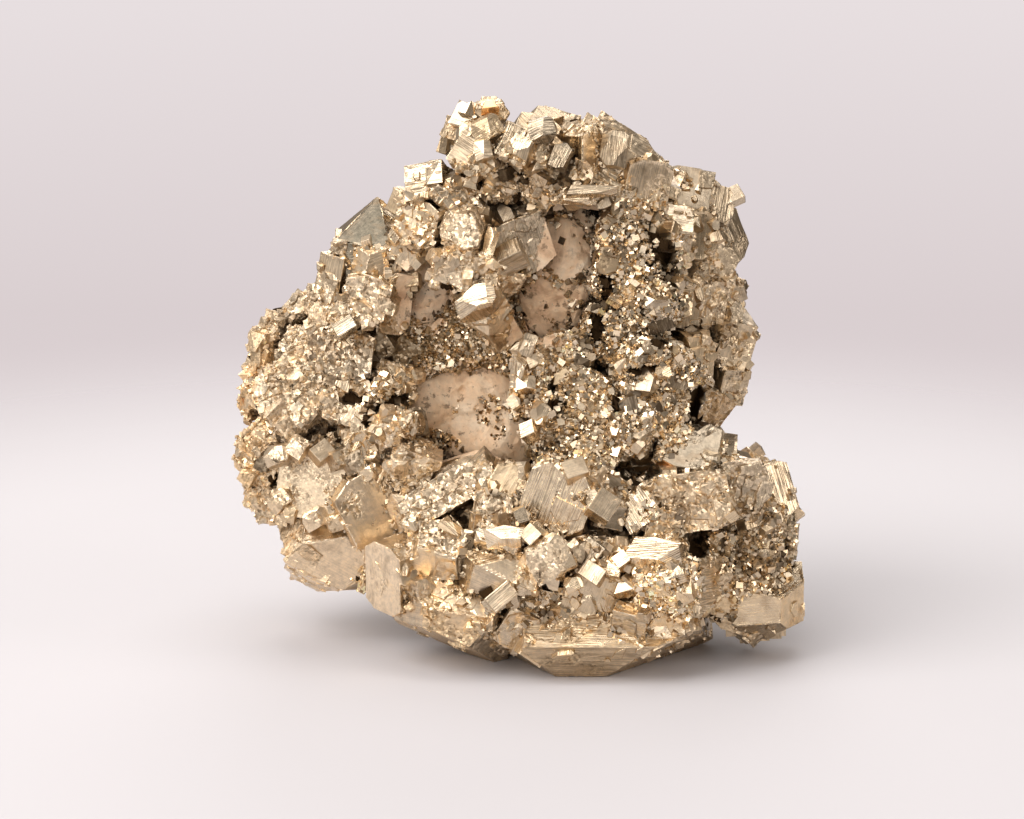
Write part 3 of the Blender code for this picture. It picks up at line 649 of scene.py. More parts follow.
def pyriteSurface(lines):
    # colour, roughness and height of a pyrite face from its own looks: tone, tint, finish and line strength
    tree, given, out = group("pyrite surface", {"Line Depth": 0.09, "Grime": 1.0, "Spacing": 1.0},
                             ("Color", "Roughness", "Height"))
    looks = addNode(tree, "Attribute", {"attribute_name": "looks"}).outputs
    tone, tint, finish = addNode(tree, "SeparateColor", None, i0=looks["Color"]).outputs
    strength = looks["Alpha"]
    shade, place = attribute(tree, "shade"), objectPlace(tree)
    striated = addNode(tree, "Group", {"node_tree": lines}, Strength=strength,
                       Spacing=given["Spacing"]).outputs
    mottle = noiseAt(tree, place, pyrite["mottle"], 4.0, 0.6)
    speckle = noiseAt(tree, place, pyrite["speckle"], 3.0, 0.7)
    tarnish = remap(tree, noiseAt(tree, place, pyrite["tarnish"], 3.0, 0.65, 0.8), 0.64, 0.78, 0.0, 0.30)
    tint = plus(tree, tint, remap(tree, mottle, 0.3, 0.7, -0.10, 0.10),
                remap(tree, speckle, 0.3, 0.7, -0.06, 0.06), tarnish)
    colour = ramp(tree, tint, pyrite["colours"])
    bright = times(tree, tone, remap(tree, speckle, 0.35, 0.7, 0.86, 1.08))
    warpScale, warpReach = pyrite["warp"]
    warp = vectors(tree, "SCALE", noiseAt(tree, place, warpScale, 3.0, output="Color"), Scale=warpReach)
    warp = vectors(tree, "ADD", place, i1=warp)
    # fine intergrown grains on the rougher faces
    grains = addNode(tree, "TexVoronoi", None, Vector=warp, Scale=pyrite["grains"]).outputs
    inCell = vectors(tree, "SUBTRACT", warp, i1=grains["Position"])
    lean = vectors(tree, "SUBTRACT", grains["Color"], i1=(0.5, 0.5, 0.5))
    facet = vectors(tree, "DOT_PRODUCT", inCell, "Value", i1=lean)
    granular = remap(tree, plus(tree, finish, remap(tree, mottle, 0.35, 0.65, -0.30, 0.30)), 0.55, 0.85)
    grainRed = addNode(tree, "SeparateColor", None, i0=grains["Color"]).outputs[0]
    grainTone = remap(tree, grainRed, 0.0, 1.0, -0.30, 0.20)
    bright = times(tree, bright, plus(tree, 1.0, times(tree, granular, grainTone)))
    lined = times(tree, remap(tree, striated["Lines"], 0.0, 0.7, 0.26, 0.0), strength, True)
    bright = times(tree, bright, maths(tree, "SUBTRACT", 1.04, lined))
    colour = mixColour(tree, "MULTIPLY", 1.0, colour, bright)
    # painted shade in the creases and hollows, from the shade attribute, and dark marks in small pocks and
    # along fine cracks
    pocks = remap(tree, noiseAt(tree, place, pyrite["pocks"], 3.0, 0.6), 0.63, 0.72)
    pocks = times(tree, pocks, remap(tree, mottle, 0.45, 0.60, 0.15, 1.0), True)
    grime = times(tree, remap(tree, shade, 0.08, 0.58, 1.0, 0.0), given["Grime"], True)
    grime = maths(tree, "MAXIMUM", grime, times(tree, pocks, plus(tree, finish, 0.10), True))
    cells = addNode(tree, "TexVoronoi", {"feature": "DISTANCE_TO_EDGE"}, Vector=warp, Scale=pyrite["cracks"])
    cracks = remap(tree, cells.outputs[0], 0.01, 0.05, 1.0, 0.0)
    cracks = times(tree, cracks, remap(tree, mottle, 0.52, 0.62), True)
    cracks = times(tree, cracks, remap(tree, finish, 0.15, 0.80, 0.0, 0.34), True)
    grime = maths(tree, "MAXIMUM", grime, cracks)
    # painted shade: near black where the shade attribute is near zero, as in the clefts
    colour = mixColour(tree, "MULTIPLY", 1.0, colour, remap(tree, shade, 0.0, 0.06, 0.15, 1.0))
    wash = remap(tree, noiseAt(tree, place, pyrite["washPatches"], 4.0, 0.68, 0.6), 0.50, 0.70, 0.0, 0.46)
    colour = mixColour(tree, "MIX", wash, colour, pyrite["wash"])
    colour = mixColour(tree, "MIX", grime, colour, pyrite["grime"])
    tree.links.new(colour, out["Color"])
    rough = plus(tree, remap(tree, finish, 0.0, 1.0, 0.15, 0.50), remap(tree, mottle, 0.3, 0.7, -0.03, 0.05),
                 times(tree, grime, 0.25), times(tree, granular, -0.08),
                 remap(tree, finish, 0.95, 1.25, 0.0, 0.16))
    tree.links.new(rough, out["Roughness"])
    facets = plus(tree, times(tree, facet, pyrite["facetTilt"]), times(tree, grains["Distance"], -0.05))
    height = plus(tree, times(tree, striated["Height"], given["Line Depth"]),
                  times(tree, pocks, times(tree, finish, -0.09)),
                  times(tree, speckle, times(tree, finish, 0.08)),
                  times(tree, cracks, -0.05), times(tree, facets, granular))
    tree.links.new(height, out["Height"])
    return tree


rockLook = {
    "colours": ((0.32, (0.62, 0.385, 0.23)), (0.46, (0.90, 0.64, 0.41)), (0.66, (0.96, 0.77, 0.56))),
    "speck": (0.17, 0.095, 0.05, 1),
    # painted shade: the dark brown the rock turns where it is closed in
    "hollow": (0.13, 0.07, 0.035, 1),
    "cloud": 230.0,
    "grit": 1300.0,
    "specks": 900.0,
    "speckPatches": 150.0,
    "bump": 0.8,
}


def rockSurface():
    # colour, roughness and height of the pale matrix rock
    tree, given, out = group("rock surface", {"Bump Height": 1.0}, ("Color", "Roughness", "Height"))
    place, shade = objectPlace(tree), attribute(tree, "shade")
    cloud = noiseAt(tree, place, rockLook["cloud"], 5.0, 0.62, 0.8)
    grit = noiseAt(tree, place, rockLook["grit"], 4.0, 0.7)
    specks = remap(tree, noiseAt(tree, place, rockLook["specks"], 4.0, 0.7), 0.57, 0.64)
    patches = remap(tree, noiseAt(tree, place, rockLook["speckPatches"], 3.0), 0.42, 0.58, 0.2, 1.0)
    specks = times(tree, specks, patches, True)
    colour = ramp(tree, cloud, rockLook["colours"])
    colour = mixColour(tree, "MULTIPLY", 1.0, colour, remap(tree, grit, 0.3, 0.7, 0.86, 1.08))
    colour = mixColour(tree, "MIX", times(tree, specks, 0.7), colour, rockLook["speck"])
    # painted shade: dark brown where the shade attribute says the rock is closed in
    colour = mixColour(tree, "MIX", remap(tree, shade, 0.0, 0.17, 1.0, 0.0), colour, rockLook["hollow"])
    tree.links.new(colour, out["Color"])
    tree.links.new(remap(tree, grit, 0.3, 0.7, 0.62, 0.9), out["Roughness"])
    height = plus(tree, times(tree, grit, 0.10), times(tree, specks, -0.10), times(tree, cloud, 0.35))
    tree.links.new(times(tree, height, given["Bump Height"]), out["Height"])
    return tree


def newMaterial(name):
    material = bpy.data.materials.new(name)
    material.use_nodes = True
    return material.node_tree, material.node_tree.nodes["Principled BSDF"]


def connect(tree, shader, colour, rough, height, strength):
    bump = addNode(tree, "Bump", None, Height=height, Distance=mm, Strength=strength).outputs[0]
    for source, target in ((colour, "Base Color"), (rough, "Roughness"), (bump, "Normal")):
        tree.links.new(source, shader.inputs[target])


def pyriteMaterial(name, surface, rock, values):
    # the "bare" attribute turns a place to rock with a ragged border
    tree, shader = newMaterial(name)
    made = addNode(tree, "Group", {"node_tree": surface}, Line_Depth=values["lineDepth"],
                   Grime=values["grime"], Spacing=values["spacing"]).outputs
    colour, rough, height = made["Color"], made["Roughness"], made["Height"]
    shader.inputs["Metallic"].default_value = 1.0
    if values["bare"]:
        under = addNode(tree, "Group", {"node_tree": rock}).outputs
        border = noiseAt(tree, objectPlace(tree), values["bare"], 4.0, 0.65)
        ragged = remap(tree, border, 0.3, 0.7, -0.35, 0.35)
        bare = remap(tree, plus(tree, attribute(tree, "bare"), ragged), 0.46, 0.56)
        colour = mixColour(tree, "MIX", bare, colour, under["Color"])
        rough = mixed(tree, bare, rough, under["Roughness"])
        height = mixed(tree, bare, height, under["Height"])
        tree.links.new(remap(tree, bare, 0.0, 1.0, 1.0, 0.0), shader.inputs["Metallic"])
    connect(tree, shader, colour, rough, height, values["bump"])


def rockMaterial(name, rock):
    tree, shader = newMaterial(name)
    made = addNode(tree, "Group", {"node_tree": rock}).outputs
    connect(tree, shader, made["Color"], made["Roughness"], made["Height"], rockLook["bump"])


# "bare" is the scale of the ragged border round bare rock, or 0 where no rock shows through
finishes = {
    # the second value sets how strong the painted shade in creases and hollows is
    "pyrite faces": {"lineDepth": 0.10, "grime": 1.0, "spacing": 1.0, "bump": 0.9, "bare": 420.0},
    "pyrite small crystals": {"lineDepth": 0.10, "grime": 1.0, "spacing": 1.2, "bump": 0.8, "bare": 0},
    "pyrite druse": {"lineDepth": 0.0, "grime": 1.0, "spacing": 2.0, "bump": 0.4, "bare": 0},
    "pyrite crust": {"lineDepth": 0.02, "grime": 1.0, "spacing": 2.0, "bump": 0.6, "bare": 420.0},
    "pyrite crust grains": {"lineDepth": 0.0, "grime": 1.0, "spacing": 2.0, "bump": 0.4, "bare": 0},
}
surface, rock = pyriteSurface(growthLines()), rockSurface()
for label, values in finishes.items():
    pyriteMaterial(label, surface, rock, values)
rockMaterial("matrix rock", rock)
print("materials made")

faceLooks = {
    "tone": (0.80, 1.08),
    "tint": (0.30, 0.62),
    "finish": (0.12, 0.55),
    "roughFinish": 0.35,    # added on rough faces
    "lines": {"polished": 0.25, "brushed": 0.8, "striated": 1.0, "stepped": 0.7, "rough": 0.4},
    "lineSpread": (0.7, 1.4),
}

# places where the rock shows through the crust, and how the looks drift over the specimen
bareZones = (
    ((-5.2, -1.0, 25.8), (10.4, 6.5, 7.8), 1.0),
    ((5.4, -3.4, 45.2), (4.6, 5.5, 9.4), 1.0),
    ((3.4, -4.0, 36.6), (5.0, 6.0, 5.4), 1.0),
    ((-11.3, -1.2, 41.0), (4.2, 5.5, 6.0), 1.0),
)
roughZones = (
    ((-27.0, -3.0, 30.0), (9.0, 10.0, 14.0), 0.8),
    ((-6.5, -9.0, 46.0), (4.5, 4.0, 4.5), 0.6),
)
drifts = (
    # centre, radii, then how much the tone, tint and finish change at the centre
    ((-27.0, -3.0, 28.0), (9.0, 10.0, 15.0), (0.09, -0.04, 0.66)),
    ((-32.0, 0.0, 31.0), (4.0, 10.0, 16.0), (0.00, 0.20, 0.00)),
    ((-25.5, -8.0, 31.5), (4.0, 4.0, 6.0), (0.22, -0.18, 0.10)),
    ((-20.0, -6.0, 9.0), (11.0, 9.0, 8.0), (0.18, 0.02, 0.10)),
    ((-12.0, -12.0, 15.0), (10.0, 9.0, 11.0), (0.10, -0.02, 0.22)),
    ((-14.0, -6.0, 44.0), (10.0, 8.0, 12.0), (0.06, 0.02, 0.05)),
    ((-3.0, -6.0, 45.0), (9.0, 6.0, 8.0), (0.06, -0.02, 0.15)),
    ((24.0, -9.0, 13.0), (7.0, 8.0, 6.5), (-0.18, 0.08, 0.10)),
    ((19.0, -3.0, 50.0), (7.0, 7.0, 8.0), (0.10, 0.02, 0.25)),
    ((25.0, 4.0, 34.0), (7.0, 9.0, 15.0), (0.02, 0.02, 0.30)),
    ((-9.0, -17.0, 6.5), (6.0, 5.0, 4.0), (0.00, 0.15, 0.00)),
    ((20.0, -14.0, 21.5), (5.0, 6.0, 4.5), (-0.20, 0.08, 0.00)),
    ((15.0, -21.0, 9.0), (6.0, 4.0, 4.0), (0.12, 0.04, 0.00)),
    ((3.0, -5.0, 59.0), (15.0, 9.0, 6.5), (-0.06, 0.06, 0.22)),
    ((14.0, -9.0, 39.0), (7.0, 7.0, 12.0), (-0.04, 0.00, -0.05)),
)

# faces with looks of their own: a place on the face, its kind, tone, tint, finish and line strength
faceNotes = (
    ((-24.6, -7.7, 19.8), "polished", (0.98, 0.40, 0.56, 0.3)),
    ((-19.3, -10.8, 18.2), "polished", (1.06, 0.46, 0.42, 0.2)),
    ((-5.6, -13.6, 22.7), "rough", (1.00, 0.34, 0.95, 0.4)),
    ((-8.9, -18.0, 15.3), "rough", (1.06, 0.38, 0.95, 0.4)),
    ((-11.2, -15.7, 18.2), "rough", (1.00, 0.36, 0.90, 0.6)),
    ((-2.2, -16.8, 19.6), "rough", (1.00, 0.38, 0.85, 0.6)),
    ((-6.7, -10.5, 45.6), "rough", (1.04, 0.38, 0.90, 0.4)),
    ((-8.4, -7.7, 48.3), "rough", (1.04, 0.40, 0.90, 0.4)),
    ((-5.6, -7.3, 51.6), "rough", (0.96, 0.42, 0.90, 0.4)),
    ((-0.9, -8.2, 48.3), "striated", (0.86, 0.34, 0.62, 1.3)),
    ((-4.2, -10.4, 40.7), "striated", (1.20, 0.36, 0.34, 1.7)),
    ((0.7, -11.6, 33.0), "stepped", (1.15, 0.34, 0.22, 1.1)),
    ((5.8, -7.1, 58.4), "striated", (0.94, 0.72, 0.34, 1.0)),
    ((7.5, -8.3, 57.4), "polished", (0.95, 0.40, 0.40, 0.3)),
    ((9.6, -6.9, 57.8), "striated", (0.96, 0.42, 0.45, 1.8)),
    ((13.5, -8.0, 56.8), "stepped", (1.06, 0.46, 0.50, 0.9)),
    # painted dark reflection: low grey tone on this polished top face
    ((-5.8, -5.1, 62.2), "polished", (0.74, 0.12, 0.18, 0.5)),
    ((1.8, -9.2, 59.6), "striated", (0.72, 0.34, 0.45, 2.2)),
    ((-3.6, -8.1, 57.9), "brushed", (0.86, 0.46, 0.48, 1.2)),
    ((-10.4, -5.9, 54.3), "striated", (0.86, 0.42, 0.44, 1.9)),
    # painted dark reflection: low grey tone on these two polished faces
    ((-18.6, -3.2, 46.4), "polished", (0.56, 0.10, 0.26, 0.3)),
    ((-17.2, -2.2, 47.7), "polished", (0.40, 0.06, 0.20, 0.2)),
    ((-21.4, -3.6, 41.0), "striated", (0.92, 0.46, 0.45, 1.3)),
    ((-10.7, -11.8, 21.9), "rough", (1.00, 0.36, 0.92, 0.4)),
    ((-9.0, -14.2, 21.3), "rough", (1.02, 0.38, 0.92, 0.4)),
    ((-19.5, -6.5, 38.9), "rough", (1.04, 0.48, 0.95, 0.5)),
    ((-20.1, -7.4, 9.7), "polished", (1.12, 0.46, 0.45, 0.5)),
    ((-23.5, 0.8, 4.5), "stepped", (1.10, 0.62, 0.40, 0.6)),
    ((-13.9, -17.7, 9.4), "polished", (1.14, 0.42, 0.45, 0.3)),
    ((-10.1, -17.9, 11.2), "rough", (1.02, 0.62, 0.45, 0.5)),
    ((-1.6, -19.5, 16.0), "striated", (1.25, 0.32, 0.10, 0.9)),
    ((4.6, -17.6, 21.3), "striated", (1.24, 0.36, 0.26, 1.7)),
    ((3.2, -20.7, 13.7), "rough", (1.12, 0.38, 0.30, 0.4)),
    ((-1.1, -20.5, 13.1), "polished", (1.10, 0.44, 0.50, 0.3)),
    ((9.0, -22.5, 3.2), "striated", (0.92, 0.56, 0.40, 1.4)),
    ((4.5, -22.5, 4.9), "striated", (1.02, 0.54, 0.38, 1.3)),
    ((18.6, -14.9, 24.5), "polished", (0.60, 0.22, 0.46, 0.3)),
    ((16.4, -14.8, 22.7), "polished", (0.98, 0.97, 0.50, 0.2)),
    ((16.2, -17.1, 21.1), "rough", (0.96, 0.52, 0.80, 0.4)),
    ((13.3, -17.5, 19.8), "striated", (1.22, 0.38, 0.14, 1.6)),
    ((15.1, -20.2, 14.4), "striated", (1.30, 0.34, 0.16, 1.7)),
    ((20.2, -19.5, 11.6), "striated", (0.98, 0.46, 0.40, 1.6)),
    ((16.9, -23.1, 9.9), "rough", (1.02, 0.66, 0.35, 0.4)),
    ((11.7, -20.0, 13.2), "striated", (1.10, 0.42, 0.20, 1.2)),
    ((28.9, -10.9, 17.6), "striated", (1.00, 0.46, 0.35, 1.0)),
    ((31.0, -13.8, 7.0), "polished", (0.92, 0.72, 0.38, 0.3)),
    ((28.2, -15.4, 4.7), "striated", (0.82, 0.54, 0.38, 1.4)),
)

# clefts between crystals, painted black with shade: middle and radii, with the surface pushed in there
clefts = (
    ((-8.4, -10.1, 42.4), (0.9, 2.5, 1.4)),
    ((9.7, -8.7, 42.1), (0.8, 2.5, 2.2)),
    ((8.8, -8.7, 38.2), (0.8, 2.5, 2.0)),
    ((-0.3, -8.5, 44.2), (1.0, 2.5, 0.8)),
    ((3.4, -13.1, 29.7), (1.3, 2.5, 0.7)),
    ((16.4, -6.5, 47.2), (1.9, 4.0, 3.4)),
    ((17.8, -6.0, 43.4), (1.0, 4.0, 2.4)),
    ((20.6, -8.1, 28.6), (1.8, 4.0, 2.4)),
    ((20.3, -16.1, 14.2), (1.3, 3.0, 1.0)),
    ((-13.7, -6.9, 29.0), (1.4, 2.5, 0.8)),
    ((-16.0, -6.3, 28.0), (1.4, 2.5, 0.9)),
    ((10.7, -14.2, 30.0), (0.8, 2.5, 0.7)),
    ((-18.8, -6.9, 29.4), (1.4, 2.5, 0.8)),
    ((14.0, -12.0, 33.6), (2.2, 3.0, 0.7)),
    ((16.0, -10.5, 36.5), (1.6, 3.0, 0.6)),
)
cleftWork = {
    "depth": 1.1,
    "ragged": (0.9, 11.0, 0.55),    # noise frequency and shift, and how far it moves the border
    "border": (1.25, 0.45),         # where a cleft ends, and over what width
    "reach": 1.8,                   # nothing is pushed in beyond this
}


def ellipsoidGap(points, centre, radii):
    # 0 at the centre and 1 on the ellipsoid
    return np.sqrt((((points - centre) / radii) ** 2).sum(axis=1))


def cleftWeight(points):
    weight = np.zeros(len(points))
    scale, shift, amount = cleftWork["ragged"]
    end, width = cleftWork["border"]
    for centre, radii in clefts:
        far = ellipsoidGap(points, centre, radii)
        near = far < cleftWork["reach"]
        if near.any():
            ragged = roundNoise(points[near], scale, shift) * amount
            weight[near] = np.maximum(weight[near], np.clip((end - far[near] + ragged) / width, 0, 1))
    return weight


def zoneWeight(points, zones):
    weight = np.zeros(len(points))
    for centre, radii, strength in zones:
        inside = np.clip((1.15 - ellipsoidGap(points, centre, radii)) / 0.35, 0, 1)
        weight = np.maximum(weight, strength * inside)
    return weight


def drifted(points, looks):
    # tone, tint and finish shifted by where a place lies
    for centre, radii, shifts in drifts:
        near = np.clip(1.2 - ellipsoidGap(points, centre, radii), 0, 0.4) / 0.4
        looks[:, :3] += near[:, None] * np.array(shifts)
    return np.clip(looks, 0.0, 1.6)


def towardView(normals):
    return np.clip(normals @ towardCamera * 2 + 0.6, 0, 1)


def pickCluster(index, middle, normal, area, note):
    if note:
        return note
    own = np.random.default_rng(1000 + index)
    kind = kindNames[own.choice(len(kindNames), p=[faceKinds[k]["share"] for k in kindNames])]
    if own.random() < zoneWeight(middle[None], roughZones)[0]:
        kind = "rough"
    tone = own.uniform(*faceLooks["tone"])
    tint = own.uniform(*faceLooks["tint"])
    finish = own.uniform(*faceLooks["finish"]) + (faceLooks["roughFinish"] if kind == "rough" else 0.0)
    lines = faceLooks["lines"][kind] * own.uniform(*faceLooks["lineSpread"])
    return kind, drifted(middle[None], np.array([[tone, tint, min(finish, 1.0), lines]]))[0]


def treeOf(points):
    made = KDTree(len(points))
    for index, point in enumerate(points):
        made.insert(point, index)
    made.balance()
    return made


def gapsTo(tree, points):
    return np.array([tree.find(point)[2] for point in points])


shadeWork = {
    "crease": 0.35,         # what a crease leaves of the light
    "bare": 0.45,           # the least that bare rock gets
}


def shaded(made, name, materialName, replaced, creases, buried=()):
    points, tris = made["points"], made["tris"]
    normals = pointNormals(points, tris)
    # painted shade: how open each place is, darker still along creases
    shade = openness(points, normals, faceWork["lift"])
    nearCrease = np.clip(gapsTo(creases, points) / faceWork["creaseDark"], 0, 1)
    shade *= shadeWork["crease"] + (1 - shadeWork["crease"]) * nearCrease
    # painted shade: black in the clefts, and no darker than the pale zones allow
    deep = cleftWeight(points)
    shade = np.maximum(shade, zoneWeight(points, paleZones)) * (1 - deep)
    points = points - normals * (deep * cleftWork["depth"])[:, None]
    # painted shade: darker where grains cover a face closely
    shade *= 1 - zoneWeight(points, buried)
    bare = zoneWeight(points, bareZones) * towardView(normals)
    shade = np.maximum(shade, bare * shadeWork["bare"])
    piece = makeMesh(name, points, tris, {
        "grain": ("FLOAT_VECTOR", "CORNER", made["grain"]),
        "looks": ("FLOAT_COLOR", "FACE", made["looks"]),
        "shade": ("FLOAT", "POINT", shade),
        "bare": ("FLOAT", "POINT", bare),
    }, materialName)
    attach(piece, "root")
    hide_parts(replaced)
    print(name, len(tris), "triangles")


def splitByPlace(made, chosen):
    # parts one surface in two pieces along triangle borders
    halves = []
    for mask in (chosen, ~chosen):
        tris = made["tris"][mask]
        used, packed = np.unique(tris, return_inverse=True)
        halves.append({
            "points": made["points"][used],
            "tris": packed.reshape(-1, 3),
            "grain": made["grain"].reshape(-1, 3, 3)[mask].reshape(-1, 3),
            "looks": made["looks"][mask],
        })
    return halves


# where the painted shade in the gaps between crystals is no darker than this
paleZones = (
    ((-27.0, -3.0, 30.0), (9.0, 12.0, 15.0), 0.42),
    ((-12.0, -2.0, 33.5), (7.0, 8.0, 5.5), 0.40),
    ((-17.0, -4.0, 36.5), (4.0, 6.0, 4.5), 0.34),
    ((2.0, -6.0, 57.0), (14.0, 9.0, 8.0), 0.30),
)

# where grains cover a face so closely that what is under them gets painted shade
buriedZones = (
    ((13.0, -9.0, 38.5), (8.0, 8.0, 12.5), 0.75),
    ((9.0, -12.0, 28.5), (9.0, 7.0, 6.5), 0.65),
    ((24.0, -9.5, 13.0), (6.5, 7.0, 6.0), 0.85),
)

frontLimit = -2.0           # triangles further forward than this are the front piece
cluster = dressFaces("pyrite_cluster", pickCluster, notes=faceNotes)
print("cluster faces worked:", len(cluster["tris"]), "triangles")
middles = cluster["points"][cluster["tris"]].mean(axis=1)
facesFront, facesBack = splitByPlace(cluster, middles[:, 1] < frontLimit)
creaseTree = treeOf(cluster["creases"])
shaded(facesFront, "pyrite_faces_front", "pyrite faces", "pyrite_cluster", creaseTree, buriedZones)
shaded(facesBack, "pyrite_faces_back", "pyrite faces", "pyrite_cluster", creaseTree)


def bodyArrays(body):
    # a bmesh's points and triangles; the bmesh is freed
    body.verts.index_update()
    points = np.array([vert.co[:] for vert in body.verts])
    tris = np.array([[vert.index for vert in face.verts] for face in body.faces])
    body.free()
    return points, tris


uneven = {
    "missing": 0.25,        # share of a crystal's cuts that are left out
    "reach": (0.84, 1.12),
    "tilt": 0.10,
}


def unitCrystal(corner=None, belt=None, chamfer=0.0, seed=None):
    # a cube of half-size 1 with its corners or a belt of edges cut; a seed makes the cuts uneven
    own = np.random.default_rng(seed)
    body = bmesh.new()
    bmesh.ops.create_cube(body, size=2)
    ends = (-1, 1)
    cuts = []
    if corner:
        cuts += [(Vector((x, y, z)).normalized(), corner) for x in ends for y in ends for z in ends]
    if belt:
        for axis in range(3):
            for one in ends:
                for two in ends:
                    normal = Vector((0, 0, 0))
                    normal[axis], normal[(axis + 1) % 3] = 2 * one, two
                    cuts.append((normal.normalized(), belt))
    for normal, reach in cuts:
        if seed is not None:
            if own.random() < uneven["missing"]:
                continue
            reach *= own.uniform(*uneven["reach"])
            normal = (normal + Vector(own.normal(0, uneven["tilt"], 3))).normalized()
        parts = body.verts[:] + body.edges[:] + body.faces[:]
        bmesh.ops.bisect_plane(body, geom=parts, plane_co=normal * reach, plane_no=normal, clear_outer=True)
        rim = [edge for edge in body.edges if edge.is_boundary]
        if rim:
            bmesh.ops.contextual_create(body, geom=rim)
    if chamfer:
        bmesh.ops.bevel(body, geom=body.edges[:], offset=chamfer, segments=1, affect="EDGES", profile=0.5)
    bmesh.ops.triangulate(body, faces=body.faces)
    bmesh.ops.recalc_face_normals(body, faces=body.faces)
    return bodyArrays(body)


def plateCrystal(seed, corners):
    # a low crystal: an uneven flat top, a bevel below it and a plain underside
    own = np.random.default_rng(seed)
    step = 2 * math.pi / corners
    turn = np.sort(own.uniform(0, step, corners) + np.arange(corners) * 2 * math.pi / corners)
    reach = own.uniform(0.78, 1.18, corners) / np.maximum(np.abs(np.cos(turn)), np.abs(np.sin(turn)))
    reach = np.minimum(reach, 1.25)
    ring = np.stack([np.cos(turn) * reach, np.sin(turn) * reach], axis=1)
    lean = own.normal(0, 0.05, 2)
    top = np.column_stack([ring * 0.84, 1 + ring @ lean])
    rim = np.column_stack([ring, 0.88 + ring @ lean])[::2]
    foot = np.array([(-1, -1, -1), (1, -1, -1), (1, 1, -1), (-1, 1, -1)]) * (0.9, 0.9, 1)
    body = bmesh.new()
    for point in np.vstack([top, rim, foot]):
        body.verts.new(point)
    made = bmesh.ops.convex_hull(body, input=body.verts[:])
    spare = {part for part in made["geom_interior"] + made["geom_unused"]
             if isinstance(part, bmesh.types.BMVert)}
    bmesh.ops.delete(body, geom=list(spare), context="VERTS")
    bmesh.ops.recalc_face_normals(body, faces=body.faces)
    return bodyArrays(body)


shapes = {
    "cube": unitCrystal(chamfer=0.06),
    "blunt": unitCrystal(corner=1.36),
    "mixedA": unitCrystal(corner=1.22, belt=1.14, seed=3),
    "mixedB": unitCrystal(corner=1.15, belt=1.20, seed=8),
    "mixedC": unitCrystal(belt=1.04, seed=12),
    "mixedD": unitCrystal(corner=1.10, seed=21),
    "plateA": plateCrystal(4, 5),
    "plateB": plateCrystal(9, 6),
    "plateC": plateCrystal(15, 4),
    "plateD": plateCrystal(22, 5),
    "plateE": plateCrystal(30, 6),
    "plainCube": unitCrystal(),
    "cutCube": unitCrystal(corner=1.25, seed=34),
    "octahedron": (
        np.array([(1.4, 0, 0), (-1.4, 0, 0), (0, 1.4, 0), (0, -1.4, 0), (0, 0, 1.4), (0, 0, -1.4)]),
        np.array([(0, 2, 4), (2, 1, 4), (1, 3, 4), (3, 0, 4), (2, 0, 5), (1, 2, 5), (3, 1, 5), (0, 3, 5)]),
    ),
}
print("crystal shapes:", {label: len(faces) for label, (_, faces) in shapes.items()})


def unitRows(rows):
    return rows / np.linalg.norm(rows, axis=1)[:, None]


def framesOf(x, z):
    # rotations with the given z, and an x as near as can be to the one given
    z = unitRows(z)
    x = unitRows(x - (x * z).sum(axis=1)[:, None] * z)
    return np.stack([x, np.cross(z, x), z], axis=2)


def turnsToward(out, own, lean):
    # rotations that point a crystal's z roughly along its surface's normal, spun at random
    z = out + own.normal(0, lean, out.shape)
    return framesOf(own.normal(0, 1, out.shape), z)


# painted shade on each crystal: darker at its foot, lighter towards its top
crystalShade = {
    "large": 0.7,           # half-size from which a crystal counts as large
    "middle": (0.60, 0.28), # how light its middle is, and what being large adds
    "rise": (0.52, -0.30),  # the same for how much lighter its top is
    "least": 0.1,
}


def joinCrystals(name, batches, materialName):
    # batches: (shape name, places, turns, half-sizes, looks, how clear each place is, outward normals)
    points, tris, grain, looks, shade = [], [], [], [], []
    base = 0
    for shape, places, turns, sizes, look, clear, out in batches:
        if not len(places):
            continue
        unit, faces = shapes[shape]
        numbers = np.arange(len(places))
        local = unit[None] * sizes[:, None, :]
        world = np.einsum("nij,nvj->nvi", turns, local) + places[:, None, :]
        # painted shade: each crystal darker towards its foot, scaled by how open its place is
        height = ((world - places[:, None, :]) * out[:, None, :]).sum(axis=2) / sizes.max(axis=1)[:, None]
        large = np.clip(sizes.max(axis=1) / crystalShade["large"], 0, 1)[:, None]
        middle, rise = (start + more * large for start, more in (crystalShade["middle"], crystalShade["rise"]))
        shade.append((clear[:, None] * np.clip(middle + rise * height, crystalShade["least"], 1.0)).ravel())
        normals, _ = measure(unit, faces)
        axis = np.abs(normals).argmax(axis=1)
        corners, rows = local[:, faces], np.arange(len(faces))
        u, v = (corners[:, rows, :, (axis + k) % 3].transpose(1, 0, 2) for k in (1, 2))
        salt = np.broadcast_to((numbers * 0.73)[:, None, None] + axis[None, :, None] * 0.31, u.shape)
        grain.append(np.stack([u, v, salt], axis=3).reshape(-1, 3))
        faceLook = np.repeat(look[:, None, :], len(faces), axis=1).copy()
        faceLook[:, :, 0] *= rng.uniform(0.92, 1.06, (len(places), 3))[:, axis]
        looks.append(faceLook.reshape(-1, 4))
        tris.append((faces[None] + (numbers * len(unit))[:, None, None]).reshape(-1, 3) + base)
        points.append(world.reshape(-1, 3))
        base += len(unit) * len(places)
    tris = np.vstack(tris)
    piece = makeMesh(name, np.vstack(points), tris, {
        "grain": ("FLOAT_VECTOR", "CORNER", np.vstack(grain)),
        "looks": ("FLOAT_COLOR", "FACE", np.vstack(looks)),
        "shade": ("FLOAT", "POINT", np.concatenate(shade)),
    }, materialName)
    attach(piece, "root")
    print(name, len(tris), "triangles")


def batchesOf(which, names, *columns):
    return [(shape, *(column[which == k] for column in columns)) for k, shape in enumerate(names)]


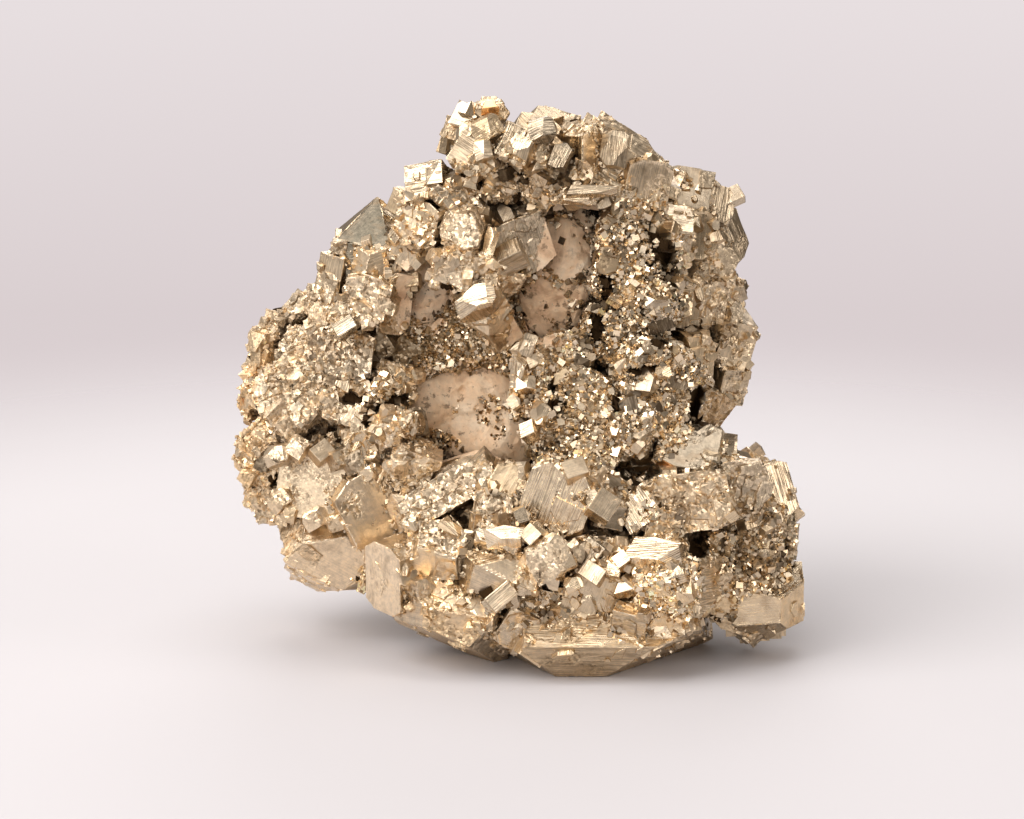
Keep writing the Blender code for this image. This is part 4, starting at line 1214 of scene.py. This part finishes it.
# overgrowths: crystals lying nearly parallel to a face, standing a little above it
plates = {
    # for each square millimetre
    "density": {"polished": 0.02, "brushed": 0.03, "striated": 0.10, "stepped": 0.26, "rough": 0.42},
    "least": 1.6,             # area of the smallest face that has any
    "half": (0.28, 1.40),
    "fit": (0.30, 0.35),      # the greatest half-size for a face's width, and what is added to it
    "power": 2.0,
    "stretch": 0.25,
    "rise": (0.02, 0.18),
    "lean": 0.035,
    "wildShare": 0.16,        # those that lean further and stand higher
    "wildLean": 0.22,
    "wildRise": (0.12, 0.55),
    "behind": 4.0,            # further back than this they are fewer
    "backShare": 0.5,         # of the density, on the sides away from the hollow
    "looksSpread": (0.05, 0.05, 0.08, 0.15),
    "buried": 0.7,
    "shapes": ("plateA", "plateB", "plateC", "plateD", "plateE", "mixedD"),
}


def growPlates():
    own = np.random.default_rng(31)
    corners, tris = cluster["solid"]
    rows = []
    for face in cluster["faces"]:
        away = face["middle"][1] > plates["behind"] or face["normal"] @ towardCamera < faceWork["turnedAway"]
        if face["area"] < plates["least"]:
            continue
        density = plates["density"][face["kind"]] * (plates["backShare"] if away else 1.0)
        count = own.poisson(face["area"] * density)
        if not count:
            continue
        places, _ = sampleSurface(corners, tris[face["members"]], count, own)
        low, high = plates["half"]
        share, more = plates["fit"]
        high = min(high, share * math.sqrt(face["area"]) + more)
        half = low + (high - low) * own.random(count) ** plates["power"]
        wild = own.random(count) < plates["wildShare"]
        lean = np.where(wild, plates["wildLean"], plates["lean"])[:, None]
        z = face["normal"] + own.normal(0, 1, (count, 3)) * lean
        frames = framesOf(face["along"] + own.normal(0, 1, (count, 3)) * lean, z)
        rise = np.where(wild, own.uniform(*plates["wildRise"], count) * np.minimum(half, 1.0),
                        own.uniform(*plates["rise"], count))
        sizes = half[:, None] * np.exp(own.normal(0, plates["stretch"], (count, 3)))
        look = face["looks"] + own.normal(0, 1, (count, 4)) * plates["looksSpread"]
        rows.append((places, frames, np.tile(face["normal"], (count, 1)), sizes, rise, np.clip(look, 0, 1.7)))
    spots, frames, outs, sizes, rises, looks = (np.concatenate(part) for part in zip(*rows))
    keep = spots[:, 2] > sizes.max(axis=1) * 1.2 + 0.2
    keep &= (zoneWeight(spots, bareZones) < 0.3) & (cleftWeight(spots) < 0.5)
    whole = (spots, frames, outs, sizes, rises, looks)
    spots, frames, outs, sizes, rises, looks = (part[keep] for part in whole)
    clear = openness(spots, outs, rises + 0.25)
    # painted shade: plates among close grains are darker
    clear *= 1 - plates["buried"] * zoneWeight(spots, buriedZones)
    places = spots - outs * (sizes[:, 2] - rises)[:, None]
    which = own.integers(0, len(plates["shapes"]), len(spots))
    batches = batchesOf(which, plates["shapes"], places, frames, sizes, looks, clear, outs)
    joinCrystals("face_overgrowths", batches, "pyrite small crystals")


# single crystals with a place of their own: shape, middle, the way its top faces, spin in degrees,
# half-sizes, and tone, tint, finish and line strength
placedCrystals = (
    ("mixedB", (-6.4, -8.2, 48.8), (-0.4, -0.9, 0.2), 20, (2.3, 2.6, 1.6), (1.02, 0.40, 0.98, 0.5)),
    ("mixedA", (-6.2, -8.9, 44.6), (-0.2, -0.9, 0.4), 65, (2.4, 1.8, 1.6), (1.06, 0.38, 0.98, 0.4)),
    ("plateB", (-3.3, -9.3, 47.7), (-0.6, -0.6, 0.5), 96, (2.3, 0.6, 0.5), (1.35, 0.34, 0.20, 0.4)),
    ("cube", (-1.4, -8.4, 45.6), (0.2, -0.8, -0.5), 30, (2.1, 1.4, 1.2), (0.82, 0.36, 0.40, 1.3)),
    ("mixedB", (-4.6, -10.4, 41.2), (-0.35, -0.75, 0.55), 24, (2.4, 1.8, 1.7), (1.22, 0.36, 0.34, 1.7)),
    ("mixedA", (0.9, -11.9, 36.4), (-0.05, -0.9, 0.2), 70, (1.3, 0.9, 0.9), (1.06, 0.34, 0.55, 1.9)),
    ("plateD", (0.1, -12.0, 36.0), (-0.6, -0.6, 0.5), 40, (1.2, 0.6, 0.5), (1.10, 0.34, 0.50, 1.6)),
    ("plateC", (0.2, -12.3, 34.0), (-0.2, -0.9, 0.1), 78, (1.4, 0.7, 0.6), (1.10, 0.34, 0.50, 1.8)),
    ("mixedA", (1.6, -12.0, 34.6), (0.1, -0.8, 0.5), 20, (0.9, 0.8, 0.8), (1.00, 0.38, 0.40, 0.6)),
    ("mixedA", (0.8, -12.2, 31.9), (-0.2, -0.7, 0.7), 10, (1.1, 0.9, 0.9), (1.30, 0.33, 0.12, 0.3)),
    ("mixedC", (-0.3, -12.0, 29.9), (-0.5, -0.8, 0.3), 40, (0.8, 1.0, 0.8), (1.10, 0.40, 0.20, 0.4)),
    ("mixedB", (2.2, -13.4, 29.0), (0.2, -0.95, 0.2), 55, (1.1, 1.0, 0.9), (1.04, 0.38, 0.34, 0.6)),
    ("cube", (1.2, -13.4, 26.7), (-0.5, -0.6, 0.6), 35, (0.9, 1.0, 0.9), (0.95, 0.46, 0.25, 0.6)),
    ("plateE", (15.0, -20.2, 14.3), (-0.28, -0.56, 0.78), 12, (3.7, 2.0, 1.2), (1.24, 0.34, 0.22, 1.3)),
    ("cube", (11.5, -20.3, 13.4), (-0.3, -0.75, 0.6), 45, (0.85, 0.85, 0.8), (1.08, 0.40, 0.22, 1.3)),
    ("plateA", (11.6, -20.6, 10.2), (-0.2, -0.75, 0.62), 15, (1.3, 0.75, 0.6), (1.20, 0.34, 0.24, 0.5)),
    ("plateD", (-1.8, -19.9, 16.1), (-0.15, -0.62, 0.77), 8, (2.1, 1.1, 0.8), (1.35, 0.32, 0.14, 0.8)),
    ("cube", (1.3, -19.9, 16.3), (-0.15, -0.90, 0.40), 48, (0.95, 0.95, 0.9), (0.98, 0.44, 0.34, 0.9)),
    ("mixedA", (3.2, -19.9, 13.7), (0.0, -0.95, 0.25), 30, (2.5, 2.3, 2.0), (1.10, 0.38, 0.98, 0.3)),
    ("cube", (-2.1, -21.2, 9.6), (0.1, -0.95, 0.25), 38, (1.7, 1.0, 0.8), (1.00, 0.44, 0.42, 1.4)),
    ("mixedC", (5.3, -20.4, 13.4), (0.2, -0.8, 0.5), 20, (1.0, 1.1, 0.9), (1.05, 0.48, 0.25, 0.3)),
    ("cube", (8.2, -20.0, 12.0), (-0.2, -0.9, 0.4), 60, (1.0, 1.4, 0.9), (0.92, 0.42, 0.36, 1.2)),
    ("mixedB", (5.9, -20.9, 11.0), (0.1, -0.9, 0.3), 25, (1.0, 0.9, 0.8), (1.0, 0.50, 0.25, 0.4)),
    ("cube", (9.3, -18.6, 19.2), (0.2, -0.8, 0.55), 50, (1.6, 1.4, 1.2), (1.05, 0.44, 0.35, 0.7)),
    ("mixedC", (0.2, -18.6, 18.3), (0.1, -0.9, 0.3), 15, (0.9, 1.0, 0.9), (0.66, 0.30, 0.20, 0.4)),
    ("mixedA", (-4.0, -8.0, 57.9), (-0.3, -0.8, 0.5), 20, (1.0, 1.3, 0.9), (0.92, 0.44, 0.46, 0.9)),
    ("mixedB", (0.0, -9.5, 58.4), (-0.2, -0.8, 0.5), 70, (1.2, 1.5, 1.1), (0.88, 0.46, 0.48, 1.3)),
    ("plateC", (-5.8, -5.6, 62.2), (-0.45, -0.7, 0.55), 5, (0.9, 0.9, 0.5), (0.98, 0.42, 0.32, 0.4)),
    ("plateA", (-3.4, -6.2, 62.5), (0.0, -0.6, 0.8), 5, (1.1, 0.7, 0.5), (0.95, 0.92, 0.30, 0.2)),
    ("mixedA", (-3.6, -6.9, 60.2), (-0.2, -0.9, 0.3), 30, (1.7, 1.4, 1.2), (0.88, 0.60, 0.44, 1.0)),
    ("mixedB", (-5.9, -6.2, 59.6), (-0.4, -0.8, 0.3), 60, (1.3, 1.1, 1.0), (0.84, 0.58, 0.44, 0.9)),
    ("mixedC", (4.6, -8.6, 57.4), (-0.1, -0.9, 0.3), 65, (1.6, 1.2, 1.0), (0.66, 0.34, 0.45, 2.2)),
    ("mixedA", (2.6, -9.0, 60.3), (-0.3, -0.7, 0.6), 25, (1.5, 1.3, 1.1), (0.68, 0.32, 0.45, 2.2)),
    ("mixedB", (10.6, -8.0, 58.0), (0.1, -0.9, 0.35), 80, (2.0, 1.5, 1.2), (0.98, 0.44, 0.46, 1.8)),
    ("plateE", (8.0, -9.8, 53.6), (0.05, -0.85, 0.5), 4, (3.3, 0.7, 0.6), (0.98, 0.40, 0.30, 1.7)),
    ("plateB", (6.4, -9.6, 52.6), (0.05, -0.85, 0.5), -6, (2.0, 0.5, 0.5), (1.15, 0.38, 0.25, 1.5)),
    ("cube", (-19.8, -7.0, 37.6), (-0.2, -0.9, 0.3), 35, (1.3, 0.8, 0.7), (1.10, 0.16, 0.22, 1.7)),
    ("mixedB", (-27.6, -8.0, 22.8), (-0.3, -0.9, 0.4), 20, (1.5, 1.2, 1.1), (1.02, 0.40, 0.70, 0.3)),
    ("mixedA", (-25.4, -8.3, 23.7), (-0.1, -0.8, 0.6), 60, (1.3, 1.2, 1.0), (1.04, 0.38, 0.75, 0.3)),
    ("cube", (-22.6, -8.6, 23.2), (0.2, -0.8, 0.6), 35, (1.2, 1.0, 0.9), (0.98, 0.44, 0.60, 0.5)),
    ("mixedC", (-20.4, -9.0, 22.6), (0.4, -0.8, 0.5), 10, (1.3, 1.1, 1.0), (0.96, 0.46, 0.70, 0.3)),
    ("mixedA", (-27.4, -8.2, 17.6), (-0.4, -0.9, 0.1), 45, (1.4, 1.1, 1.0), (1.00, 0.52, 0.65, 0.3)),
    ("mixedB", (-26.4, -8.4, 16.0), (-0.2, -0.9, 0.2), 75, (1.0, 0.9, 0.8), (0.98, 0.62, 0.50, 0.3)),
    ("mixedA", (-23.4, -8.7, 15.6), (0.0, -0.9, 0.1), 30, (1.5, 1.1, 1.0), (1.04, 0.44, 0.65, 0.3)),
    ("mixedC", (-21.0, -9.2, 15.2), (0.2, -0.9, 0.0), 15, (1.1, 1.0, 0.9), (1.00, 0.50, 0.60, 0.3)),
    ("mixedA", (-16.5, -0.8, 34.2), (-0.3, -0.9, -0.1), 30, (2.2, 1.8, 1.8), (0.74, 0.50, 0.92, 0.4)),
    ("mixedB", (-14.0, 1.4, 32.8), (0.2, -0.9, 0.1), 60, (2.8, 2.4, 2.4), (0.66, 0.54, 0.92, 0.4)),
    ("mixedA", (-12.4, -6.6, 26.2), (0.1, -0.9, 0.3), 10, (1.8, 1.7, 1.4), (1.00, 0.40, 0.90, 0.3)),
    ("mixedB", (-14.2, -6.9, 23.4), (0.0, -0.9, 0.4), 50, (1.7, 1.5, 1.3), (0.98, 0.42, 0.90, 0.4)),
    ("cube", (6.2, -17.6, 23.2), (0.0, -0.8, 0.6), 20, (1.3, 1.1, 1.0), (0.92, 0.44, 0.40, 0.6)),
)


def placeCrystals():
    batches = []
    for shape, place, way, spin, sizes, look in placedCrystals:
        z = np.array(way) / np.linalg.norm(way)
        side = np.cross((0, 0, 1.0), z)
        side /= np.linalg.norm(side)
        turn = math.radians(spin)
        x = side * math.cos(turn) + np.cross(z, side) * math.sin(turn)
        clear = openness(np.array([place]), z[None], np.array([max(sizes)]))
        batches.append((shape, np.array([place]), np.stack([x, np.cross(z, x), z], axis=1)[None],
                        np.array([sizes]), np.array([look]), np.clip(clear + 0.2, 0, 1), z[None]))
    joinCrystals("single_crystals", batches, "pyrite small crystals")


def sampleSurface(corners, tris, count, own):
    normals, areas = measure(corners, tris)
    picked = own.choice(len(tris), count, p=areas / areas.sum())
    one, two = own.random(count), own.random(count)
    over = one + two > 1
    one[over], two[over] = 1 - one[over], 1 - two[over]
    a, b, c = (corners[tris[picked, k]] for k in range(3))
    return a + (b - a) * one[:, None] + (c - a) * two[:, None], normals[picked]


growPlates()
placeCrystals()

steps = (-1, 0, 1)
neighbours = [(i, j, k) for i in steps for j in steps for k in steps]


def spaced(points, gaps, limit):
    # keeps points in order while each stays its own gap away from those kept
    cell = float(np.max(gaps))
    cells, kept = {}, []
    keys = np.floor(points / cell).astype(int).tolist()
    for index, (x, y, z) in enumerate(points.tolist()):
        i, j, k = keys[index]
        gap = gaps[index] ** 2
        near = (spot for di, dj, dk in neighbours for spot in cells.get((i + di, j + dj, k + dk), ()))
        if any((px - x) ** 2 + (py - y) ** 2 + (pz - z) ** 2 < gap for px, py, pz in near):
            continue
        cells.setdefault((i, j, k), []).append((x, y, z))
        kept.append(index)
        if len(kept) >= limit:
            break
    return np.array(kept, int)


# what the fine druses share
fine = {
    "material": "pyrite druse",
    "lines": (0.0, 0.2),
    "stretch": 0.2,
    "creaseReach": 0.0,
    "creaseShare": 0.0,
}
coverings = {
    # a covering's tries, half-sizes, spacing against size, zones, reach from a crease, and looks
    "small_crystals": {
        "tries": 26000, "half": (0.28, 1.05), "power": 2.6, "space": 1.35, "limit": 3600, "sink": (0.2, 0.8),
        "creaseReach": 0.9, "creaseShare": 0.30, "lean": 0.6, "material": "pyrite small crystals",
        "shapes": ("cube", "mixedA", "mixedB", "mixedC", "mixedD", "blunt"), "tone": (0.8, 1.12),
        "tint": (0.28, 0.62), "finish": (0.26, 0.68), "lines": (0.3, 1.2), "stretch": 0.25,
        "zones": (
            ((24.0, -9.5, 13.5), (6.5, 7.0, 5.5), 1.0),
            ((-6.5, -9.5, 46.0), (5.0, 4.0, 4.5), 0.8),
            ((-30.5, 0.0, 25.0), (4.5, 8.0, 13.0), 0.25),
            ((-24.0, -1.0, 39.0), (6.0, 7.0, 6.0), 0.3),
            ((0.0, -6.0, 54.5), (10.0, 6.0, 4.5), 0.65),
            ((-8.0, -5.5, 50.0), (6.0, 5.0, 4.0), 0.6),
            ((10.0, -11.5, 29.0), (9.0, 7.0, 7.0), 0.40),
            ((6.0, -18.0, 13.0), (8.0, 5.0, 4.0), 0.40),
            ((-14.0, -7.5, 25.0), (5.0, 5.0, 8.0), 0.5),
            ((22.0, 10.0, 38.0), (6.0, 8.0, 14.0), 0.5),
            ((0.0, 15.0, 30.0), (25.0, 10.0, 26.0), 0.3),
        ),
    },
    "druse_right": {
        "tries": 420000, "half": (0.11, 0.36), "power": 1.4, "space": 1.15, "limit": 16000,
        "sink": (-0.3, 0.4),
        "lean": 1.3, **fine,
        "shapes": ("plainCube", "octahedron", "plainCube"), "tone": (0.72, 1.42), "tint": (0.16, 0.50),
        "finish": (0.06, 0.42),
        "zones": (
            ((13.0, -9.0, 38.5), (8.5, 8.5, 13.0), 1.4),
            ((9.0, -12.0, 28.0), (9.5, 7.0, 7.5), 1.1),
            ((17.0, -21.5, 11.0), (4.2, 4.0, 3.6), 0.9),
            ((24.0, -9.5, 13.0), (7.0, 7.0, 7.0), 0.9),
        ),
    },
    "druse_left": {
        "tries": 220000, "half": (0.13, 0.46), "power": 1.5, "space": 1.2, "limit": 12000, "sink": (0.1, 0.7),
        "lean": 1.1, **fine,
        "shapes": ("plainCube", "octahedron", "octahedron"), "tone": (0.84, 1.12), "tint": (0.28, 0.58),
        "finish": (0.3, 0.6),
        "zones": (
            ((-26.0, -3.0, 30.0), (7.0, 7.0, 9.0), 1.1),
            ((-30.0, 0.0, 22.0), (4.0, 7.0, 10.0), 1.0),
            ((-12.5, -7.0, 28.5), (5.0, 5.0, 6.0), 0.9),
            ((-20.0, -2.5, 37.5), (5.0, 5.0, 4.0), 0.6),
            ((-1.0, -7.0, 54.0), (9.0, 5.0, 3.2), 0.7),
            ((-8.5, -5.5, 47.5), (5.5, 5.0, 2.8), 0.6),
        ),
    },
    "druse_creases": {
        "tries": 150000, "half": (0.12, 0.38), "power": 1.8, "space": 1.25, "limit": 15500,
        "sink": (-0.1, 0.5),
        "lean": 1.0, **fine, "creaseReach": 0.55, "creaseShare": 0.8,
        "shapes": ("plainCube", "octahedron"), "tone": (0.6, 1.15), "tint": (0.22, 0.62),
        "finish": (0.0, 0.5), "zones": (),
    },
}


def coverWith(name, work, seed):
    own = np.random.default_rng(seed)
    corners, tris = cluster["solid"]
    points, out = sampleSurface(corners, tris, work["tries"], own)
    weight = zoneWeight(points, work["zones"])
    if not work["creaseReach"]:
        inside = weight > 0
        points, out, weight = points[inside], out[inside], weight[inside]
    low, high = work["half"]
    half = low + (high - low) * own.random(len(points)) ** work["power"]
    patchy = roundNoise(points, 0.33, 5.0 + seed) * 0.9 + 0.62
    weight = weight * np.clip(patchy * 1.3, 0, 1)
    if work["creaseReach"]:
        near = np.clip(1.4 - gapsTo(creaseTree, points) / work["creaseReach"], 0, 1)
        weight = np.maximum(weight, work["creaseShare"] * near * np.clip(patchy, 0.0, 1.0))
    keep = own.random(len(points)) < weight
    keep &= points[:, 2] > half * 2.2 + 0.3
    keep &= zoneWeight(points, bareZones) * towardView(out) < own.uniform(0.3, 1.1, len(points))
    keep &= cleftWeight(points) < own.uniform(0.2, 1.0, len(points))
    points, out, half = points[keep], out[keep], half[keep]
    kept = spaced(points, half * work["space"], work["limit"])
    points, out, half = points[kept], out[kept], half[kept]
    count = len(points)
    sizes = half[:, None] * np.exp(own.normal(0, work["stretch"], (count, 3)))
    turns = turnsToward(out, own, work["lean"])
    sink = own.uniform(*work["sink"], count)
    places = points - out * (half * sink)[:, None]
    clear = openness(points, out, half * 0.7 + 0.1)
    looks = np.stack([own.uniform(*work[key], count) for key in ("tone", "tint", "finish", "lines")], axis=1)
    looks = drifted(points, looks)
    which = own.integers(0, len(work["shapes"]), count)
    batches = batchesOf(which, work["shapes"], places, turns, sizes, looks, clear, out)
    joinCrystals(name, batches, work["material"])


for number, (name, work) in enumerate(coverings.items()):
    coverWith(name, work, 40 + number)

rockWork = {
    "size": 0.38,           # longest edge of the mesh
    "swell": (0.30, 0.5),   # height and noise frequency of each form
    "ripple": (0.12, 1.1),
    "ridges": (0.16, 0.35),
    "pits": (0.20, 1.3),
    "range": (-0.4, 0.25),
    # places where the rock swells out over the crust's lip: middle, radii, height
    "bulges": (
        ((-2.0, 0.0, 21.6), (7.0, 6.0, 4.0), 2.3),
        ((-12.0, -1.0, 27.2), (3.4, 5.0, 3.6), 2.1),
        ((6.2, -3.0, 41.5), (2.4, 4.0, 4.5), 1.1),
    ),
}


def refined(corners, tris, size):
    body = bmesh.new()
    verts = [body.verts.new(p) for p in corners]
    for tri in tris:
        body.faces.new([verts[k] for k in tri])
    for _ in range(6):
        long = [edge for edge in body.edges if edge.calc_length() > size * 1.5]
        if not long:
            break
        bmesh.ops.subdivide_edges(body, edges=long, cuts=1)
        bmesh.ops.triangulate(body, faces=body.faces, quad_method="BEAUTY", ngon_method="BEAUTY")
    bmesh.ops.smooth_vert(body, verts=body.verts, factor=0.5,
                          use_axis_x=True, use_axis_y=True, use_axis_z=True)
    return bodyArrays(body)


def rockDepth(points, out):
    # how far the rock stands out from its solid, or sinks below it
    swell, swellScale = rockWork["swell"]
    ripple, rippleScale = rockWork["ripple"]
    ridges, ridgeScale = rockWork["ridges"]
    pits, pitScale = rockWork["pits"]
    depth = swell * roundNoise(points, swellScale)
    depth = depth + ridges * np.clip(0.25 - np.abs(roundNoise(points, ridgeScale, 3.0)), 0, 1) * 4
    depth += ripple * roundNoise(points, rippleScale, 4.0)
    depth -= pits * np.clip(np.clip(roundNoise(points, pitScale, 9.0) - 0.30, 0, 1) * 3, 0, 1)
    depth = np.clip(depth, *rockWork["range"])
    for centre, radii, height in rockWork["bulges"]:
        inside = np.clip(1.35 - ellipsoidGap(points, centre, radii), 0, 1)
        depth += height * inside * np.clip(out @ towardCamera * 2, 0, 1)
    return depth


def dressRock():
    points, faces = refined(*readSolid("matrix"), rockWork["size"])
    out = pointNormals(points, faces)
    points = points + out * rockDepth(points, out)[:, None]
    shade = openness(points, pointNormals(points, faces), 0.2)
    piece = makeMesh("matrix_rock", points, faces, {"shade": ("FLOAT", "POINT", shade)}, "matrix rock")
    piece.data.polygons.foreach_set("use_smooth", np.ones(len(faces), bool))
    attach(piece, "root")
    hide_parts("matrix")
    print("matrix_rock", len(faces), "triangles")
    return points, faces


dressedRock = dressRock()

crustWork = {
    "coarse": 1.3,
    "tone": (0.5, 0.85),
    "tint": (0.35, 0.7),
    "finish": (0.4, 0.9),
    "lines": 0.3,
}


def pickCrust(index, middle, normal, area, note):
    own = np.random.default_rng(5000 + index)
    looks = [own.uniform(*crustWork[key]) for key in ("tone", "tint", "finish")]
    return "rough", (*looks, crustWork["lines"])


crust = dressFaces("hollow_crust", pickCrust, coarse=crustWork["coarse"])
shaded(crust, "hollow_crust_sheet", "pyrite crust", "hollow_crust", treeOf(crust["creases"]))

crustGrains = {
    "tries": 70000,
    "half": (0.11, 0.42),
    "power": 2.2,
    "space": 1.15,
    "limit": 13500,
    "lip": 22.8,            # the height of the crust's lower lip, where the grains stay thick
    "rockTries": 16000,
    "rockHalf": (0.09, 0.36),
    "clumpTries": 90000,
    "clumpHalf": 0.22,
    "clumps": (((-3.6, -2.4, 26.9), (1.5, 3.0, 1.7), 0.9), ((-2.6, -2.4, 24.7), (1.0, 3.0, 1.0), 0.5)),
    "looks": ((0.62, 1.2), (0.18, 0.52), (0.0, 0.5), (0.0, 0.3)),
    "stretch": 0.2,
    "shapes": ("cutCube", "plainCube", "octahedron"),
    "cutFrom": 0.36,        # the largest are cut cubes
}


def crustSpots(own):
    # places over the crust, thinning out where the rock shows
    points, out = sampleSurface(*crust["solid"], crustGrains["tries"], own)
    low, high = crustGrains["half"]
    half = low + (high - low) * own.random(len(points)) ** crustGrains["power"]
    patchy = roundNoise(points, 0.45, 2.0)
    bare = zoneWeight(points, bareZones)
    lip = (np.abs(points[:, 2] - crustGrains["lip"]) < 0.8) & (patchy > -0.1) | (out[:, 2] < -0.4)
    bare = np.where(lip, bare * 0.55, bare)
    thinned = own.random(len(points)) > bare * np.clip(1.0 - patchy * 2.4, 0.05, 0.99)
    keep = (out @ towardCamera > -0.3) & thinned
    return points[keep], out[keep], half[keep]


def rockSpots(own):
    # places sprinkled on the rock, thicker round the crust's rim
    points, out = sampleSurface(*readSolid("matrix"), crustGrains["rockTries"], own)
    low, high = crustGrains["rockHalf"]
    half = low + (high - low) * own.random(len(points)) ** 2.0
    patchy = roundNoise(points, 0.42, 6.0) + 0.35 * roundNoise(points, 1.1, 1.0)
    rim = rayTree(*crust["solid"])
    near = np.array([rim.find_nearest(Vector(p))[3] for p in points])
    ring = (1.3 - near / np.clip(0.5 + 2.2 * patchy, 0.1, 2.4)) * np.clip(patchy * 4 + 0.8, 0, 1)
    wanted = np.maximum(patchy * 2.2 - 0.35, ring)
    keep = (out @ towardCamera > -0.1) & (own.random(len(points)) < np.clip(wanted, 0.012, 0.95))
    return points[keep], out[keep], half[keep]


def clumpSpots(own):
    # a few clumps on the dressed rock
    points, out = sampleSurface(*dressedRock, crustGrains["clumpTries"], own)
    ragged = np.clip(roundNoise(points, 1.4, 8.0) * 2.5 + 0.6, 0, 1)
    keep = own.random(len(points)) < zoneWeight(points, crustGrains["clumps"]) * ragged
    keep &= out @ towardCamera > 0
    half = own.uniform(crustGrains["rockHalf"][0], crustGrains["clumpHalf"], int(keep.sum()))
    return points[keep], out[keep], half


def coverCrust():
    own = np.random.default_rng(77)
    parts = [find(own) for find in (crustSpots, rockSpots, clumpSpots)]
    points, out, half = (np.concatenate(column) for column in zip(*parts))
    kept = spaced(points, half * crustGrains["space"], crustGrains["limit"])
    points, out, half = points[kept], out[kept], half[kept]
    count = len(points)
    sizes = half[:, None] * np.exp(own.normal(0, crustGrains["stretch"], (count, 3)))
    places = points - out * (half * own.uniform(0.0, 0.5, count))[:, None]
    clear = openness(points, out, half * 0.6 + 0.1)
    looks = np.stack([own.uniform(*limits, count) for limits in crustGrains["looks"]], axis=1)
    turns = turnsToward(out, own, 1.0)
    which = np.where(half > crustGrains["cutFrom"], 0, own.integers(1, len(crustGrains["shapes"]), count))
    batches = batchesOf(which, crustGrains["shapes"], places, turns, sizes, looks, clear, out)
    joinCrystals("hollow_crust_crystals", batches, "pyrite crust grains")


coverCrust()

stage = {
    "floorRadius": 0.9,
    "floorColour": (0.540, 0.522, 0.535),
    "floorRoughness": 0.7,
    "floorShine": 0.15,
    "fade": (0.085, 0.20),      # where the floor gives way to the backdrop, in metres
    "backdrop": (0.80, 0.735, 0.745),
    "dip": (0.70, 0.625, 0.635),
    "horizon": (-0.18, -0.10),  # between these heights of a ray the dip turns to the backdrop
    "glowWay": (-0.62, -0.25, 0.74),
    "glow": (
        (0.00, (0.075, 0.058, 0.042)),
        (0.40, (0.145, 0.122, 0.098)),
        (0.62, (0.34, 0.315, 0.295)),
        (0.82, (0.72, 0.68, 0.66)),
        (1.00, (0.95, 0.91, 0.89)),
    ),
}


def makeFloor():
    body = bmesh.new()
    bmesh.ops.create_circle(body, cap_ends=True, segments=96, radius=stage["floorRadius"])
    mesh = bpy.data.meshes.new("floor")
    body.to_mesh(mesh)
    body.free()
    floor = bpy.data.objects.new("floor", mesh)
    scene.collection.objects.link(floor)
    tree, shader = newMaterial("floor")
    shader.inputs["Base Color"].default_value = (*stage["floorColour"], 1)
    shader.inputs["Roughness"].default_value = stage["floorRoughness"]
    shader.inputs["Specular IOR Level"].default_value = stage["floorShine"]
    far = vectors(tree, "LENGTH", objectPlace(tree), "Value")
    near, end = stage["fade"]
    fade = addNode(tree, "MapRange", {"interpolation_type": "SMOOTHSTEP"},
                   i0=far, i1=near, i2=end, i3=1.0, i4=0.0)
    tree.links.new(fade.outputs[0], shader.inputs["Alpha"])
    mesh.materials.append(bpy.data.materials["floor"])


def makeWorld():
    world = bpy.data.worlds.new("studio")
    scene.world = world
    world.use_nodes = True
    tree = world.node_tree
    tree.nodes.clear()
    ray = addNode(tree, "LightPath").outputs["Is Camera Ray"]
    way = addNode(tree, "TexCoord").outputs["Generated"]
    height = addNode(tree, "SeparateXYZ", None, i0=way).outputs[2]
    seen = ramp(tree, remap(tree, height, *stage["horizon"]), ((0.0, stage["dip"]), (1.0, stage["backdrop"])))
    upper = vectors(tree, "DOT_PRODUCT", way, "Value", i1=stage["glowWay"])
    glow = ramp(tree, remap(tree, upper, -1.0, 1.0), stage["glow"])
    back = addNode(tree, "Background", None, Color=mixColour(tree, "MIX", ray, glow, seen))
    out = addNode(tree, "OutputWorld")
    tree.links.new(back.outputs[0], out.inputs["Surface"])


lampAim = (0, 0, 0.03)
lamps = {
    "key": {"place": (-0.34, -0.16, 0.40), "size": (0.40, 0.40), "power": 2.4, "colour": (1.0, 0.97, 0.95)},
    "top": {"place": (0.02, 0.10, 0.50), "size": (0.40, 0.30), "power": 1.0, "colour": (1.0, 0.98, 0.97)},
    "right": {"place": (0.42, -0.10, 0.16), "size": (0.16, 0.30), "power": 0.5, "colour": (1.0, 0.95, 0.92)},
    "rear": {"place": (0.05, 0.45, 0.25), "size": (0.30, 0.30), "power": 0.8, "colour": (1.0, 0.98, 0.98)},
    "front": {"place": (-0.10, -0.60, 0.24), "size": (0.40, 0.30), "power": 0.8, "colour": (1.0, 0.96, 0.93)},
}


def makeLamps():
    for label, work in lamps.items():
        data = bpy.data.lights.new(label, "AREA")
        data.shape = "RECTANGLE"
        data.size, data.size_y = work["size"]
        data.energy = work["power"]
        data.color = work["colour"]
        item = bpy.data.objects.new(label, data)
        item.location = work["place"]
        item.rotation_euler = (Vector(lampAim) - item.location).to_track_quat("-Z", "Y").to_euler()
        scene.collection.objects.link(item)


makeFloor()
makeWorld()
makeLamps()
print("stage and lamps placed")
